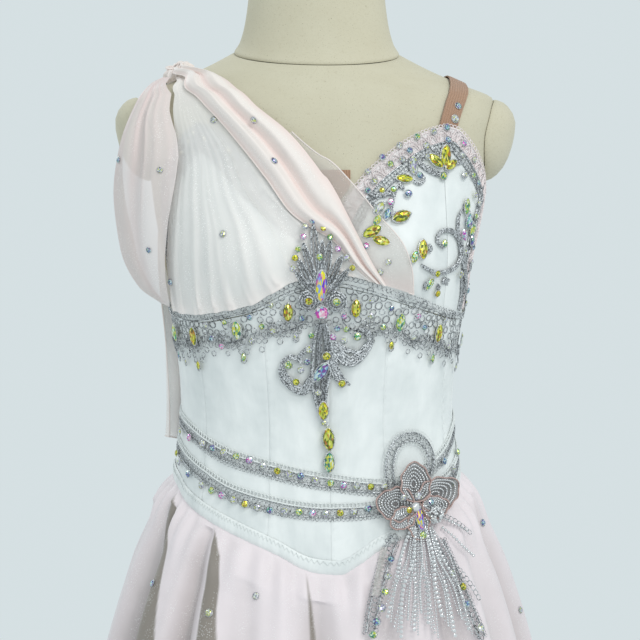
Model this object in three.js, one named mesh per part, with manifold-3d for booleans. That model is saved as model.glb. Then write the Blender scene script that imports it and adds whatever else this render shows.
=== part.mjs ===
// Child's ballet costume on a limbless dress form.
// A boned satin bodice with cups, silver lace, two belts of braid and a brooch, sheer organza
// draped from one shoulder, and a gathered organza skirt. Millimetres, +Z up, front towards -Y.
// The origin is the middle of the stand's underside.
import * as THREE from "three";
import Module from "manifold-3d";

const wasm = await Module();
wasm.setup();

// Driving dimensions
const STAND = { baseRadius: 150, baseHeight: 14, poleRadius: 12.5, footOfForm: 640 };
const NECK = { seam: 1198, top: 1262, capHeight: 13 };
const SKIRT_HEM = 490;
const SEAM_GAP = 0.3;
const SKIRT_TUCK = 1;

// How far each layer stands off the form
const SATIN = { inner: 0.8, outer: 2.8 };
const TRIM = { inner: 3.2, outer: 4.3 };
const NET = { inner: 3.6, outer: 4.6 };
const ORGANZA = 1.2;

// Cross-sections of the dress form: half width, depth in front and behind, squareness of the
// rounded outline, and how far the front of the section hangs lower than its sides.
const SECTIONS = [
  { height: 640, width: 118, front: 84, back: 92, square: 2.3, drop: 0 },
  { height: 660, width: 124, front: 90, back: 99, square: 2.3, drop: 0 },
  { height: 700, width: 129, front: 95, back: 106, square: 2.3, drop: 0 },
  { height: 760, width: 129, front: 96, back: 108, square: 2.3, drop: 0 },
  { height: 820, width: 121, front: 90, back: 93, square: 2.3, drop: 0 },
  { height: 870, width: 111, front: 83, back: 79, square: 2.3, drop: 0 },
  { height: 920, width: 105.5, front: 79, back: 72.5, square: 2.3, drop: 0 },
  { height: 960, width: 108, front: 82, back: 74, square: 2.3, drop: 0 },
  { height: 1000, width: 113.5, front: 86, back: 77, square: 2.35, drop: 0 },
  { height: 1040, width: 122, front: 90, back: 80, square: 2.4, drop: 0 },
  { height: 1075, width: 128, front: 86, back: 80, square: 2.45, drop: 0 },
  { height: 1100, width: 131, front: 80, back: 77, square: 2.5, drop: 0 },
  { height: 1130, width: 136, front: 73, back: 73, square: 2.5, drop: 0 },
  { height: 1150, width: 140, front: 67, back: 69, square: 2.4, drop: 0 },
  { height: 1163, width: 140, front: 62, back: 66, square: 2.2, drop: 2 },
  { height: 1176, width: 113, front: 57, back: 63, square: 2.0, drop: 5 },
  { height: 1187, width: 88, front: 54, back: 61, square: 2.0, drop: 9 },
  { height: 1198, width: 66, front: 50, back: 58, square: 2.0, drop: 14 },
];
const BUST = { across: 58, height: 1040, rise: 9, spreadAcross: 40, spreadUp: 38 };

// Seams of the bodice: the turn round the form, in degrees from the middle of the front towards
// the right of the front view, at the underbust and at the hem, and the steps to the next seam.
const SEAMS = [
  { name: "centre_back_left", top: -180, foot: -180, steps: 5 },
  { name: "side_back_left", top: -138, foot: -138, steps: 4 },
  { name: "side_left", top: -92, foot: -92, steps: 5 },
  { name: "side_front_left", top: -56, foot: -49.4, steps: 4 },
  { name: "centre_front_left", top: -21, foot: -17.8, steps: 3 },
  { name: "centre_front_right", top: 1.3, foot: 1.3, steps: 3 },
  { name: "side_front_right", top: 21.5, foot: 21.5, steps: 4 },
  { name: "side_right", top: 57.4, foot: 60.5, steps: 5 },
  { name: "side_back_right", top: 92, foot: 92, steps: 4 },
  { name: "centre_back_right", top: 138, foot: 138, steps: 5 },
  { name: "end", top: 180, foot: 180, steps: 0 },
];
const SEAM_TOP = 1000;
const SEAM_FOOT = 840;

// Lines round the bodice: height against turn
const HEM_LINE = [
  { turn: -180, height: 850 }, { turn: -135, height: 861 }, { turn: -92, height: 867 },
  { turn: -74, height: 863 }, { turn: -61, height: 853.5 }, { turn: -42, height: 841.8 },
  { turn: -26.6, height: 831.6 }, { turn: -14.4, height: 821.7 }, { turn: -2.6, height: 808.6 },
  { turn: 3.2, height: 806.5 }, { turn: 9.5, height: 813.6 }, { turn: 16.6, height: 823.1 },
  { turn: 32, height: 834 }, { turn: 48.4, height: 845.3 }, { turn: 62, height: 854.2 },
  { turn: 79, height: 866 }, { turn: 92, height: 868 }, { turn: 135, height: 861 },
  { turn: 180, height: 850 },
];
const UNDERBUST_LINE = [
  { turn: -180, height: 1004 }, { turn: -135, height: 1004 }, { turn: -92, height: 999 },
  { turn: -70, height: 994 }, { turn: -50, height: 991 }, { turn: -35, height: 995 },
  { turn: -22, height: 1001 }, { turn: -14, height: 1009 }, { turn: -8, height: 1015 },
  { turn: 1.3, height: 1019 }, { turn: 9, height: 1016 }, { turn: 18, height: 1011 },
  { turn: 30, height: 1004 }, { turn: 42, height: 998 }, { turn: 55, height: 993 },
  { turn: 70, height: 991 }, { turn: 92, height: 999 }, { turn: 135, height: 1004 },
  { turn: 180, height: 1004 },
];
const LACE_TOP_LINE = [
  { turn: -180, height: 1003.5 }, { turn: -92, height: 1002 }, { turn: -66, height: 998.4 },
  { turn: -54, height: 997.1 }, { turn: -45.5, height: 998.5 }, { turn: -34.7, height: 1001.6 },
  { turn: -23.6, height: 1006.7 }, { turn: -15.8, height: 1015.3 }, { turn: -9.3, height: 1022.4 },
  { turn: 3.3, height: 1027.9 }, { turn: 10.8, height: 1024.4 }, { turn: 19.8, height: 1018.7 },
  { turn: 32.4, height: 1011.5 }, { turn: 44.2, height: 1004.6 }, { turn: 55, height: 999.7 },
  { turn: 71, height: 996.7 }, { turn: 92, height: 1000 }, { turn: 180, height: 1003.5 },
];
const LACE_FOOT_LINE = [
  { turn: -180, height: 975 }, { turn: -86, height: 973 }, { turn: -48, height: 977.4 },
  { turn: -20.7, height: 985 }, { turn: -3.8, height: 993.2 }, { turn: 14.8, height: 987.7 },
  { turn: 36, height: 980.5 }, { turn: 56, height: 971.6 }, { turn: 85, height: 965 },
  { turn: 180, height: 975 },
];
const UPPER_BELT_LINE = [
  { turn: -180, height: 915 }, { turn: -135, height: 917 }, { turn: -80, height: 911 },
  { turn: -66, height: 905.8 }, { turn: -52.6, height: 898.1 }, { turn: -36.4, height: 888.9 },
  { turn: -21.6, height: 882.8 }, { turn: -7.2, height: 875.9 }, { turn: 1.5, height: 872 },
  { turn: 10.9, height: 868.5 }, { turn: 20.6, height: 866.9 }, { turn: 34, height: 872 },
  { turn: 50, height: 881.9 }, { turn: 59.3, height: 889.3 }, { turn: 70.5, height: 899.5 },
  { turn: 92, height: 911 }, { turn: 135, height: 917 }, { turn: 180, height: 915 },
];
const LOWER_BELT_LINE = [
  { turn: -180, height: 893 }, { turn: -135, height: 896 }, { turn: -82, height: 890.4 },
  { turn: -62, height: 880.9 }, { turn: -50.3, height: 874.1 }, { turn: -35, height: 863.7 },
  { turn: -20.7, height: 857 }, { turn: -7, height: 851.6 }, { turn: 1.4, height: 849.9 },
  { turn: 10.4, height: 850.1 }, { turn: 20, height: 852.1 }, { turn: 34, height: 856.5 },
  { turn: 60, height: 868.8 }, { turn: 78, height: 880 }, { turn: 92, height: 888 },
  { turn: 135, height: 896 }, { turn: 180, height: 893 },
];
const BELT_WIDTH = 8.4;
const BINDING_WIDTH = 8.6;
const BINDING_OVERHANG = 0.4;

// Cells of the underbust lace's repeat that are cut through
const LACE_HOLES = [
  { level: 1, step: 1 }, { level: 1, step: 4 }, { level: 3, step: 2 }, { level: 3, step: 4 },
];
const LACE_POINT = 8;
const BRIDGE = { foot: 1068, top: 1104, clearance: 1.2, outer: 1.8 };

// Cups: the turn of each upright edge against height, and the top edge as a share of the way
// from the piece's inner edge to its outer one.
const CUPS = {
  right: {
    inner: [
      { height: 1016, turn: 1.3 }, { height: 1056, turn: 1 }, { height: 1064, turn: 1.4 },
      { height: 1078, turn: 3.4 }, { height: 1092, turn: 6.4 },
    ],
    middle: [{ height: 998, turn: 50 }, { height: 1105, turn: 38.7 }, { height: 1140, turn: 37.6 }],
    outer: [
      { height: 990, turn: 75 }, { height: 1013, turn: 74 }, { height: 1036, turn: 68.5 },
      { height: 1056, turn: 71 }, { height: 1080, turn: 76 }, { height: 1090, turn: 77.5 },
    ],
    innerTop: [
      { share: 0, height: 1091 }, { share: 0.13, height: 1104 }, { share: 0.31, height: 1116 },
      { share: 0.5, height: 1126 }, { share: 0.73, height: 1133.5 }, { share: 1, height: 1138 },
    ],
    outerTop: [
      { share: 0, height: 1138 }, { share: 0.14, height: 1136 }, { share: 0.32, height: 1128 },
      { share: 0.55, height: 1116 }, { share: 0.83, height: 1101 }, { share: 1, height: 1089 },
    ],
  },
  left: {
    inner: [
      { height: 1016, turn: 1.2 }, { height: 1056, turn: 0.4 }, { height: 1064, turn: -1.2 },
      { height: 1076, turn: -7 }, { height: 1092, turn: -14 },
    ],
    middle: [{ height: 998, turn: -49 }, { height: 1105, turn: -38 }, { height: 1140, turn: -36.8 }],
    outer: [
      { height: 990, turn: -74 }, { height: 1013, turn: -72 }, { height: 1040, turn: -68 },
      { height: 1070, turn: -65 }, { height: 1092, turn: -62 },
    ],
    innerTop: [
      { share: 0, height: 1091 }, { share: 0.25, height: 1110 }, { share: 0.45, height: 1122 },
      { share: 0.75, height: 1134 }, { share: 1, height: 1138 },
    ],
    outerTop: [
      { share: 0, height: 1138 }, { share: 0.33, height: 1129.5 }, { share: 0.65, height: 1115.5 },
      { share: 0.88, height: 1100 }, { share: 1, height: 1093 },
    ],
  },
};

// Outline that the scalloped lace of each cup keeps to, from the middle to the side
const CUP_OUTLINE = {
  right: [
    { turn: 1.2, height: 1064 }, { turn: 2.6, height: 1082 }, { turn: 4.6, height: 1096 },
    { turn: 8.9, height: 1109 }, { turn: 14.7, height: 1121 }, { turn: 21.2, height: 1131 },
    { turn: 28.6, height: 1138.5 }, { turn: 37.4, height: 1143.5 }, { turn: 43.4, height: 1141 },
    { turn: 51, height: 1133 }, { turn: 60.3, height: 1121 }, { turn: 72.3, height: 1107 },
    { turn: 81, height: 1092 }, { turn: 78.6, height: 1080 }, { turn: 73.7, height: 1056.5 },
    { turn: 71, height: 1036 }, { turn: 76.6, height: 1013.6 }, { turn: 77, height: 1001 },
  ],
  left: [
    { turn: -1.4, height: 1062.5 }, { turn: -5.5, height: 1077 }, { turn: -12.6, height: 1098 },
    { turn: -18.2, height: 1116 }, { turn: -23.4, height: 1128 }, { turn: -30.3, height: 1139 },
    { turn: -36.6, height: 1143 }, { turn: -45.8, height: 1135 }, { turn: -55, height: 1121 },
    { turn: -64, height: 1102 }, { turn: -68, height: 1070 }, { turn: -70.5, height: 1040 },
    { turn: -74.5, height: 1014 }, { turn: -75.5, height: 1003 },
  ],
};
const LACE_EDGE = { outside: 0, inside: 11 };
const CUP_BRAID = { outside: 11.4, inside: 18.6 };

const STRAP = {
  width: 15,
  inner: 1.5,
  outer: 2.6,
  path: [
    { turn: 40, height: 1144 }, { turn: 42.4, height: 1153 }, { turn: 46, height: 1162 },
    { turn: 56, height: 1170 }, { turn: 72, height: 1175.4 }, { turn: 90, height: 1177.5 },
    { turn: 108, height: 1175.4 }, { turn: 124, height: 1169 }, { turn: 135, height: 1158 },
    { turn: 142, height: 1122 },
    { turn: 145, height: 1080 }, { turn: 146, height: 1040 }, { turn: 146, height: 1005 },
  ],
};

// Organza pieces: from the knot on the shoulder (share 0) down to where each one ends (share 1).
// Each row gives both long edges, as turn and height, how far the cloth stands off the form
// between its folds, and how high the folds rise.
const DRAPE_CUP = {
  rows: [
    { share: 0, turnA: -75, heightA: 1176.5, turnB: -66, heightB: 1180.5, out: 3.6, fold: 0.8 },
    { share: 0.07, turnA: -58, heightA: 1170.5, turnB: -49, heightB: 1174, out: 4.4, fold: 1.4 },
    { share: 0.14, turnA: -48.5, heightA: 1160, turnB: -37, heightB: 1158, out: 5.2, fold: 2 },
    { share: 0.25, turnA: -47.5, heightA: 1140, turnB: -28.2, heightB: 1140, out: 5.2, fold: 2.6 },
    { share: 0.4, turnA: -49, heightA: 1112, turnB: -18.5, heightB: 1116, out: 5.2, fold: 3.4 },
    { share: 0.55, turnA: -54, heightA: 1086, turnB: -11.2, heightB: 1086, out: 5.2, fold: 4 },
    { share: 0.7, turnA: -60, heightA: 1058, turnB: -1, heightB: 1061, out: 5.2, fold: 4.4 },
    { share: 0.83, turnA: -66, heightA: 1032, turnB: 5.6, heightB: 1040, out: 5.3, fold: 4.8 },
    { share: 0.93, turnA: -69.5, heightA: 1012, turnB: 10, heightB: 1029.5, out: 5.3, fold: 4.8 },
    { share: 1, turnA: -71.5, heightA: 1000, turnB: 14.4, heightB: 1022, out: 5, fold: 1.2 },
  ],
  crests: [0.05, 0.17, 0.28, 0.38, 0.5, 0.6, 0.69, 0.78],
  levels: [0, 0.07, 0.14, 0.25, 0.37, 0.5, 0.62, 0.73, 0.83, 0.91, 0.96, 1],
};
const DRAPE_SASH = {
  rows: [
    { share: 0, turnA: -89.7, heightA: 1184.5, turnB: -86, heightB: 1188.5, out: 7, fold: 3 },
    { share: 0.07, turnA: -60, heightA: 1176, turnB: -56, heightB: 1181, out: 7, fold: 4 },
    { share: 0.14, turnA: -47.5, heightA: 1167.5, turnB: -36.5, heightB: 1172.5, out: 7.3, fold: 4.6 },
    { share: 0.22, turnA: -37.5, heightA: 1156, turnB: -25.5, heightB: 1164.5, out: 7.3, fold: 5 },
    { share: 0.3, turnA: -29.2, heightA: 1141.5, turnB: -17, heightB: 1150.5, out: 7.2, fold: 5.4 },
    { share: 0.43, turnA: -21, heightA: 1119, turnB: -7.5, heightB: 1131, out: 7, fold: 5.8 },
    { share: 0.57, turnA: -14.5, heightA: 1097, turnB: -2, heightB: 1110, out: 7, fold: 5.8 },
    { share: 0.7, turnA: -8, heightA: 1071, turnB: 2, heightB: 1085, out: 7, fold: 5.4 },
    { share: 0.82, turnA: 0.8, heightA: 1053.5, turnB: 6.5, heightB: 1061, out: 7, fold: 4.8 },
    { share: 0.92, turnA: 6.5, heightA: 1036.5, turnB: 12.5, heightB: 1037, out: 7, fold: 4 },
    { share: 1, turnA: 13.4, heightA: 1024, turnB: 18, heightB: 1021.5, out: 6.9, fold: 2.2 },
  ],
  crests: [0.28, 0.74],
  levels: [0, 0.04, 0.08, 0.14, 0.22, 0.32, 0.43, 0.55, 0.66, 0.76, 0.85, 0.93, 1],
};
const DRAPE_FLAP = {
  rows: [
    { share: 0, turnA: -8.5, heightA: 1128, turnB: -6.4, heightB: 1131, out: 5, fold: 0 },
    { share: 0.2, turnA: -3.5, heightA: 1107, turnB: 0.7, heightB: 1110, out: 5, fold: 0 },
    { share: 0.4, turnA: 0, heightA: 1086, turnB: 5, heightB: 1095, out: 5, fold: 0.2 },
    { share: 0.6, turnA: 4, heightA: 1064, turnB: 13.9, heightB: 1069, out: 5, fold: 0.6 },
    { share: 0.8, turnA: 8.5, heightA: 1043, turnB: 22.6, heightB: 1048.5, out: 5, fold: 0.6 },
    { share: 0.92, turnA: 13.5, heightA: 1029, turnB: 27, heightB: 1031, out: 5, fold: 0.4 },
    { share: 1, turnA: 16.5, heightA: 1022, turnB: 29.5, heightB: 1014.2, out: 5, fold: 0 },
  ],
  crests: [0.65],
  levels: [0, 0.14, 0.28, 0.4, 0.5, 0.6, 0.7, 0.8, 0.9, 1],
};
const DRAPE_BACK = {
  rows: [
    { share: 0, turnA: -90.3, heightA: 1190.5, turnB: -90.3, heightB: 1184.5, out: 7, fold: 3 },
    { share: 0.06, turnA: -121, heightA: 1187, turnB: -108, heightB: 1178, out: 7, fold: 3 },
    { share: 0.13, turnA: -141, heightA: 1166, turnB: -120, heightB: 1163, out: 7.5, fold: 3 },
    { share: 0.32, turnA: -150, heightA: 1104, turnB: -120, heightB: 1105, out: 8, fold: 3.5 },
    { share: 0.48, turnA: -148, heightA: 1050, turnB: -109, heightB: 1050, out: 10, fold: 4.5 },
    { share: 0.63, turnA: -144, heightA: 998, turnB: -100, heightB: 1000, out: 12, fold: 5 },
    { share: 0.86, turnA: -140, heightA: 921, turnB: -97, heightB: 926, out: 13, fold: 6 },
    { share: 1, turnA: -137, heightA: 877, turnB: -101, heightB: 890, out: 13, fold: 6 },
  ],
  crests: [0.16, 0.5, 0.84],
  levels: [0, 0.06, 0.13, 0.22, 0.32, 0.45, 0.6, 0.74, 0.87, 1],
};
// The loose fall over the arm: its front edge lies on the form, its outer edge and the edge
// turned in behind it hang free, so they are given as points.
const DRAPE_SIDE = {
  rows: [
    { share: 0, turn: -77, height: 1175, out: 4.5, x: -121, y: -10, z: 1178.5, backX: 1, backY: 3 },
    { share: 0.06, turn: -62, height: 1169.5, out: 5.4, x: -129, y: -26, z: 1172, backX: 1, backY: 3 },
    { share: 0.14, turn: -49.8, height: 1160, out: 6.2, x: -139, y: -43, z: 1157, backX: 2, backY: 3 },
    { share: 0.3, turn: -48.8, height: 1134, out: 6.4, x: -152, y: -44, z: 1124, backX: 3, backY: 4 },
    { share: 0.5, turn: -52.5, height: 1100, out: 7, x: -158, y: -32, z: 1086, backX: 7, backY: 24 },
    { share: 0.7, turn: -59.5, height: 1066, out: 7.2, x: -154, y: -24, z: 1046, backX: 10, backY: 30 },
    { share: 0.88, turn: -67.4, height: 1030, out: 7.6, x: -140, y: -22, z: 1016, backX: 8, backY: 26 },
    { share: 1, turn: -72.8, height: 1003.5, out: 5.4, x: -123, y: -20, z: 1003, backX: 2, backY: 16 },
  ],
  levels: [0, 0.06, 0.14, 0.23, 0.33, 0.45, 0.57, 0.7, 0.81, 0.91, 1],
  acrossSteps: 8,
  bulge: 11,
  foldDepth: 5,
};
const KNOT = { turn: -90, height: 1178.8, radius: 11.5, inner: 0.7, shoulder: 4, rise: 9, crown: 10.5 };

// Skirt: how far it stands out from the bodice's hem against the drop below it
const SKIRT_FLARE = [
  { drop: 0, out: 2.2 }, { drop: 6, out: 8 }, { drop: 14, out: 15 }, { drop: 24, out: 20.5 },
  { drop: 38, out: 26 }, { drop: 68, out: 40 }, { drop: 98, out: 51 }, { drop: 133, out: 62 },
  { drop: 200, out: 82 }, { drop: 290, out: 105 }, { drop: 380, out: 126 },
];
// Its folds, as troughs between full pleats: turn, depth at the hem, half width in degrees, and
// the drop at which each one begins. Panels meet in troughs.
const SKIRT_FOLDS = [
  { turn: -176, depth: 27, spread: 5, start: 12 }, { turn: -152, depth: 30, spread: 5, start: 10 },
  { turn: -130, depth: 25, spread: 5, start: 16 }, { turn: -110, depth: 30, spread: 4.6, start: 10 },
  { turn: -89, depth: 24, spread: 4.8, start: 20 }, { turn: -68, depth: 32, spread: 5, start: 8 },
  { turn: -43, depth: 36, spread: 3.4, start: 4 }, { turn: -22, depth: 16, spread: 4.2, start: 24 },
  { turn: -2.5, depth: 34, spread: 3.2, start: 18 }, { turn: 16, depth: 24, spread: 4, start: 14 },
  { turn: 35, depth: 28, spread: 4, start: 14 }, { turn: 55, depth: 20, spread: 4.4, start: 20 },
  { turn: 74, depth: 28, spread: 4.8, start: 12 }, { turn: 96, depth: 26, spread: 5, start: 16 },
  { turn: 117, depth: 30, spread: 4.8, start: 10 }, { turn: 138, depth: 24, spread: 5, start: 18 },
  { turn: 160, depth: 30, spread: 5, start: 12 },
];
const SKIRT_LEVELS = [0, 0.02, 0.05, 0.1, 0.19, 0.33, 0.52, 0.75, 1];
const SKIRT_PANELS = [
  { name: "skirt_back_left", from: -176, to: -130 },
  { name: "skirt_side_back_left", from: -130, to: -89 },
  { name: "skirt_side_left", from: -89, to: -43 },
  { name: "skirt_front_left", from: -43, to: -2.5 },
  { name: "skirt_front_right", from: -2.5, to: 55 },
  { name: "skirt_side_right", from: 55, to: 96 },
  { name: "skirt_side_back_right", from: 96, to: 138 },
  { name: "skirt_back_right", from: 138, to: 184 },
];

// Cord ornaments: routes across the front, as distance from the middle and height
const ORNAMENT = {
  cord: 2.6,
  overLace: 5,
  overOrganza: 8.2,
  plumes: [
    { across: -12.8, height: 1058.5 }, { across: 2.4, height: 1048.5 }, { across: 10.8, height: 1037 },
    { across: 16.5, height: 1029.5 }, { across: -18.6, height: 1046.3 },
    { across: -22.6, height: 1040 }, { across: -24.2, height: 1033 },
  ],
  plumeFoot: { across: -3, height: 1017 },
  spirals: [
    { across: -10.6, height: 1010.3, start: 30, way: 1 },
    { across: 5.6, height: 1009.8, start: 145, way: -1 },
  ],
  spiralRadius: 7,
  stones: [
    { across: -3, height: 1021.5, width: 7, length: 21, lift: 8.2, rise: 3 },
    { across: -2.8, height: 999.8, width: 9, length: 9, lift: 5.1, rise: 4 },
    { across: -3, height: 964, width: 4.5, length: 9, lift: 5, rise: 2.8 },
    { across: -1.1, height: 926.5, width: 7, length: 13, lift: 5, rise: 3.2 },
    { across: 2.4, height: 905.5, width: 7, length: 14, lift: 5, rise: 3.2 },
    { across: 3.6, height: 885.5, width: 8, length: 15, lift: 5, rise: 3.4 },
  ],
  routes: [
    [[-3.4, 1018], [-2.8, 1002], [-2.6, 990], [-2.1, 976], [-3.2, 954], [-1.9, 934], [-0.8, 920],
      [2, 910], [3.4, 890]],
    [[-2.2, 988], [1, 979], [7.5, 971.5], [15, 968.5], [21.5, 970], [24.6, 976.5], [21.5, 983],
      [16, 981.5]],
    [[-2.6, 960], [-7, 951], [-14.5, 945], [-21, 944.5], [-26.5, 949], [-27.6, 956], [-22.5, 960.5]],
    [[-2.4, 970], [3, 962], [8, 954], [13, 947.5]],
  ],
};
const CUP_SCROLLS = {
  upper: [
    [[37, 1078.5], [42, 1081.5], [48, 1085.5], [53, 1090.5], [57, 1096], [61, 1102], [66, 1107],
      [72, 1111.5], [79, 1111], [85.5, 1107.5], [91, 1103]],
    [[50, 1087], [48.5, 1080], [51, 1074], [55, 1068.5]],
    [[88, 1106], [90, 1111], [91.5, 1117]],
  ],
  lower: [
    [[104.5, 1071], [99.5, 1064], [93, 1060.5], [87, 1058.5], [83.5, 1053.5], [87, 1049.5]],
    [[102.5, 1067], [105, 1059], [105.2, 1050], [103, 1042], [98.5, 1035.5], [91.5, 1031],
      [84, 1030], [77, 1032.5], [71, 1036.5], [65.5, 1040.5]],
    [[86, 1031], [82, 1027], [77.5, 1022]],
    [[73.5, 1036], [72.8, 1042], [71.6, 1048.5]],
  ],
};

const BROOCH = {
  turn: 33, height: 863, inner: 6.1, rim: 7.6, rise: 5.5, petals: 6, reach: 27, notch: 19, squash: 0.76,
  firstPetal: 20,
};
const BRAID_LOOP = {
  width: 7.6,
  inner: 4.7,
  outer: 5.8,
  path: [
    [58, 880.5], [52, 889], [53.5, 897.5], [61, 903], [70.5, 903.5], [78, 898.5], [81, 890],
    [78.5, 881],
  ],
};
// Strips and strands that hang from the brooch, as turn and height
const TAILS = [
  {
    name: "braid_tail_left",
    rows: [[26.5, 828], [23, 812], [17, 790], [12, 765], [9.5, 738], [8, 712]],
  },
  {
    name: "braid_tail_right",
    rows: [[36.5, 830], [37.5, 812], [39, 790], [40.5, 765], [41.5, 738], [42, 712]],
  },
];
const TAIL = { width: 8, inner: 1.3, outer: 2.4 };
const TASSEL = {
  headTurn: 31, headHeight: 837.6, headRadius: 6, headSquash: 0.8, strands: 10, thick: 1.26,
  top: 838, shortest: 792, longest: 742, firstTurn: 14, lastTurn: 39, spreadAtHead: 2.4,
  lift: 5.6, liftOfOddStrands: 7,
};

// Colours of the finishes
const FINISH = {
  linen: { color: 0xcfcab0, roughness: 0.9, metalness: 0 },
  steel: { color: 0x9a9ca0, roughness: 0.35, metalness: 0.9 },
  satin: { color: 0xf2f4f2, roughness: 0.38, metalness: 0 },
  lace: { color: 0xa9afb8, roughness: 0.45, metalness: 0.35 },
  blushLace: { color: 0xe9d9d8, roughness: 0.6, metalness: 0.1 },
  elastic: { color: 0xc29a78, roughness: 0.8, metalness: 0 },
  organza: { color: 0xe9d8d6, roughness: 0.5, metalness: 0 },
};

const radians = (degrees) => degrees * Math.PI / 180;
const mix = (a, b, share) => a + (b - a) * share;
const add = (p, direction, length) => p.map((value, k) => value + direction[k] * length);
const cross = (u, v) => [u[1] * v[2] - u[2] * v[1], u[2] * v[0] - u[0] * v[2], u[0] * v[1] - u[1] * v[0]];
const dot = (u, v) => u[0] * v[0] + u[1] * v[1] + u[2] * v[2];
const minus = (p, q) => p.map((value, k) => value - q[k]);
const unit = (v) => v.map((value) => value / Math.hypot(...v));

// Smooth value of one column of a table at a place in another column, never past its neighbours
function along(rows, at, key, value) {
  const last = rows.length - 1;
  let i = 0;
  while (i < last - 1 && value > rows[i + 1][at]) i++;
  const secant = (k) => (rows[k + 1][key] - rows[k][key]) / (rows[k + 1][at] - rows[k][at]);
  const slope = (k) => {
    if (k === 0 || k === last) return secant(Math.min(k, last - 1));
    const before = secant(k - 1);
    const after = secant(k);
    return before * after <= 0 ? 0 : 2 * before * after / (before + after);
  };
  const span = rows[i + 1][at] - rows[i][at];
  const t = Math.min(Math.max((value - rows[i][at]) / span, 0), 1);
  const rise = t * t * (3 - 2 * t);
  return mix(rows[i][key], rows[i + 1][key], rise)
    + t * (1 - t) * (1 - t) * span * slope(i) - t * t * (1 - t) * span * slope(i + 1);
}
const heightOn = (line, turn) => along(line, "turn", "height", turn);

// A point of the form's surface, and the way out of it
function formPoint(turn, height) {
  const section = {};
  for (const key of ["width", "front", "back", "square", "drop"]) {
    section[key] = along(SECTIONS, "height", key, height);
  }
  const sine = Math.sin(radians(turn));
  const cosine = Math.cos(radians(turn));
  const power = 2 / section.square;
  const depth = cosine > 0 ? section.front : section.back;
  const x = section.width * Math.sign(sine) * Math.abs(sine) ** power;
  let y = -depth * Math.sign(cosine) * Math.abs(cosine) ** power;
  if (cosine > 0) {
    const across = (Math.abs(x) - BUST.across) / BUST.spreadAcross;
    const up = (height - BUST.height) / BUST.spreadUp;
    y -= BUST.rise * Math.exp(-across * across - up * up) * Math.min(1, 3 * cosine);
  }
  return [x, y, height - section.drop * cosine];
}
function slopesAt(surface, turn, height) {
  const turnStep = 0.6;
  const heightStep = 1.5;
  const round = minus(surface(turn + turnStep, height), surface(turn - turnStep, height));
  const up = minus(surface(turn, height + heightStep), surface(turn, height - heightStep));
  return { round: round.map((v) => v / (2 * turnStep)), up: up.map((v) => v / (2 * heightStep)) };
}
function wayOut(surface, turn, height) {
  const { round, up } = slopesAt(surface, turn, height);
  return unit(cross(round, up));
}
function onForm(turn, height, out) {
  return add(formPoint(turn, height), wayOut(formPoint, turn, height), out);
}
// Turn of the front point that lies so far from the middle
function turnAcross(across, height) {
  const width = along(SECTIONS, "height", "width", height);
  const square = along(SECTIONS, "height", "square", height);
  const sine = Math.min(Math.abs(across) / width, 1) ** (square / 2);
  return Math.sign(across) * Math.asin(sine) * 180 / Math.PI;
}
const placeAcross = ([across, height]) => ({ turn: turnAcross(across, height), height });
// The place reached from another by a short walk over the surface
function walk(place, direction, length) {
  const steps = Math.max(1, Math.ceil(Math.abs(length) / 8));
  let { turn, height } = place;
  for (let k = 0; k < steps; k++) {
    const { round, up } = slopesAt(formPoint, turn, height);
    const a = dot(round, round);
    const b = dot(round, up);
    const c = dot(up, up);
    const p = dot(round, direction) * length / steps;
    const q = dot(up, direction) * length / steps;
    const whole = a * c - b * b;
    turn += (p * c - q * b) / whole;
    height += (q * a - p * b) / whole;
  }
  return { turn, height };
}

// Closed body from points and four- or three-sided faces, turned so that it faces out
function closedBody(points, faces) {
  const used = new Map();
  const positions = [];
  const index = [];
  let volume = 0;
  const corner = (k) => {
    if (!used.has(k)) {
      used.set(k, positions.length / 3);
      positions.push(...points[k]);
    }
    return used.get(k);
  };
  const triangle = (a, b, c) => {
    volume += dot(points[a], cross(points[b], points[c]));
    index.push([corner(a), corner(b), corner(c)]);
  };
  for (const [a, b, c, d] of faces) {
    if (d === undefined) {
      triangle(a, b, c);
      continue;
    }
    triangle(a, b, c);
    triangle(a, c, d);
  }
  const turned = volume < 0 ? index.map(([a, b, c]) => [a, c, b]) : index;
  const geometry = new THREE.BufferGeometry();
  geometry.setAttribute("position", new THREE.Float32BufferAttribute(positions, 3));
  geometry.setIndex(turned.flat());
  geometry.computeVertexNormals();
  return geometry;
}

// Wall of cloth on a grid of outer and inner points, with holes where cells are cut out
function wall(columns, levels, outer, inner, cut = () => false) {
  const points = [];
  for (const face of [outer, inner]) {
    for (let j = 0; j <= levels; j++) {
      for (let i = 0; i <= columns; i++) points.push(face(i, j));
    }
  }
  const half = points.length / 2;
  const at = (i, j) => j * (columns + 1) + i;
  const kept = (i, j) => i >= 0 && i < columns && j >= 0 && j < levels && !cut(i, j);
  const faces = [];
  for (let j = 0; j < levels; j++) {
    for (let i = 0; i < columns; i++) {
      if (!kept(i, j)) continue;
      const ring = [at(i, j), at(i + 1, j), at(i + 1, j + 1), at(i, j + 1)];
      const diagonal = (k) => Math.hypot(...minus(points[ring[k]], points[ring[k + 2]]));
      const [a, b, c, d] = diagonal(0) <= diagonal(1) ? ring : [ring[1], ring[2], ring[3], ring[0]];
      faces.push([a, b, c, d], [a + half, d + half, c + half], [a + half, c + half, b + half]);
      const open = [kept(i, j - 1), kept(i + 1, j), kept(i, j + 1), kept(i - 1, j)];
      open.forEach((neighbour, k) => {
        const from = ring[k];
        const to = ring[(k + 1) % 4];
        if (!neighbour) faces.push([to, from, from + half, to + half]);
      });
    }
  }
  return closedBody(points, faces);
}

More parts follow.
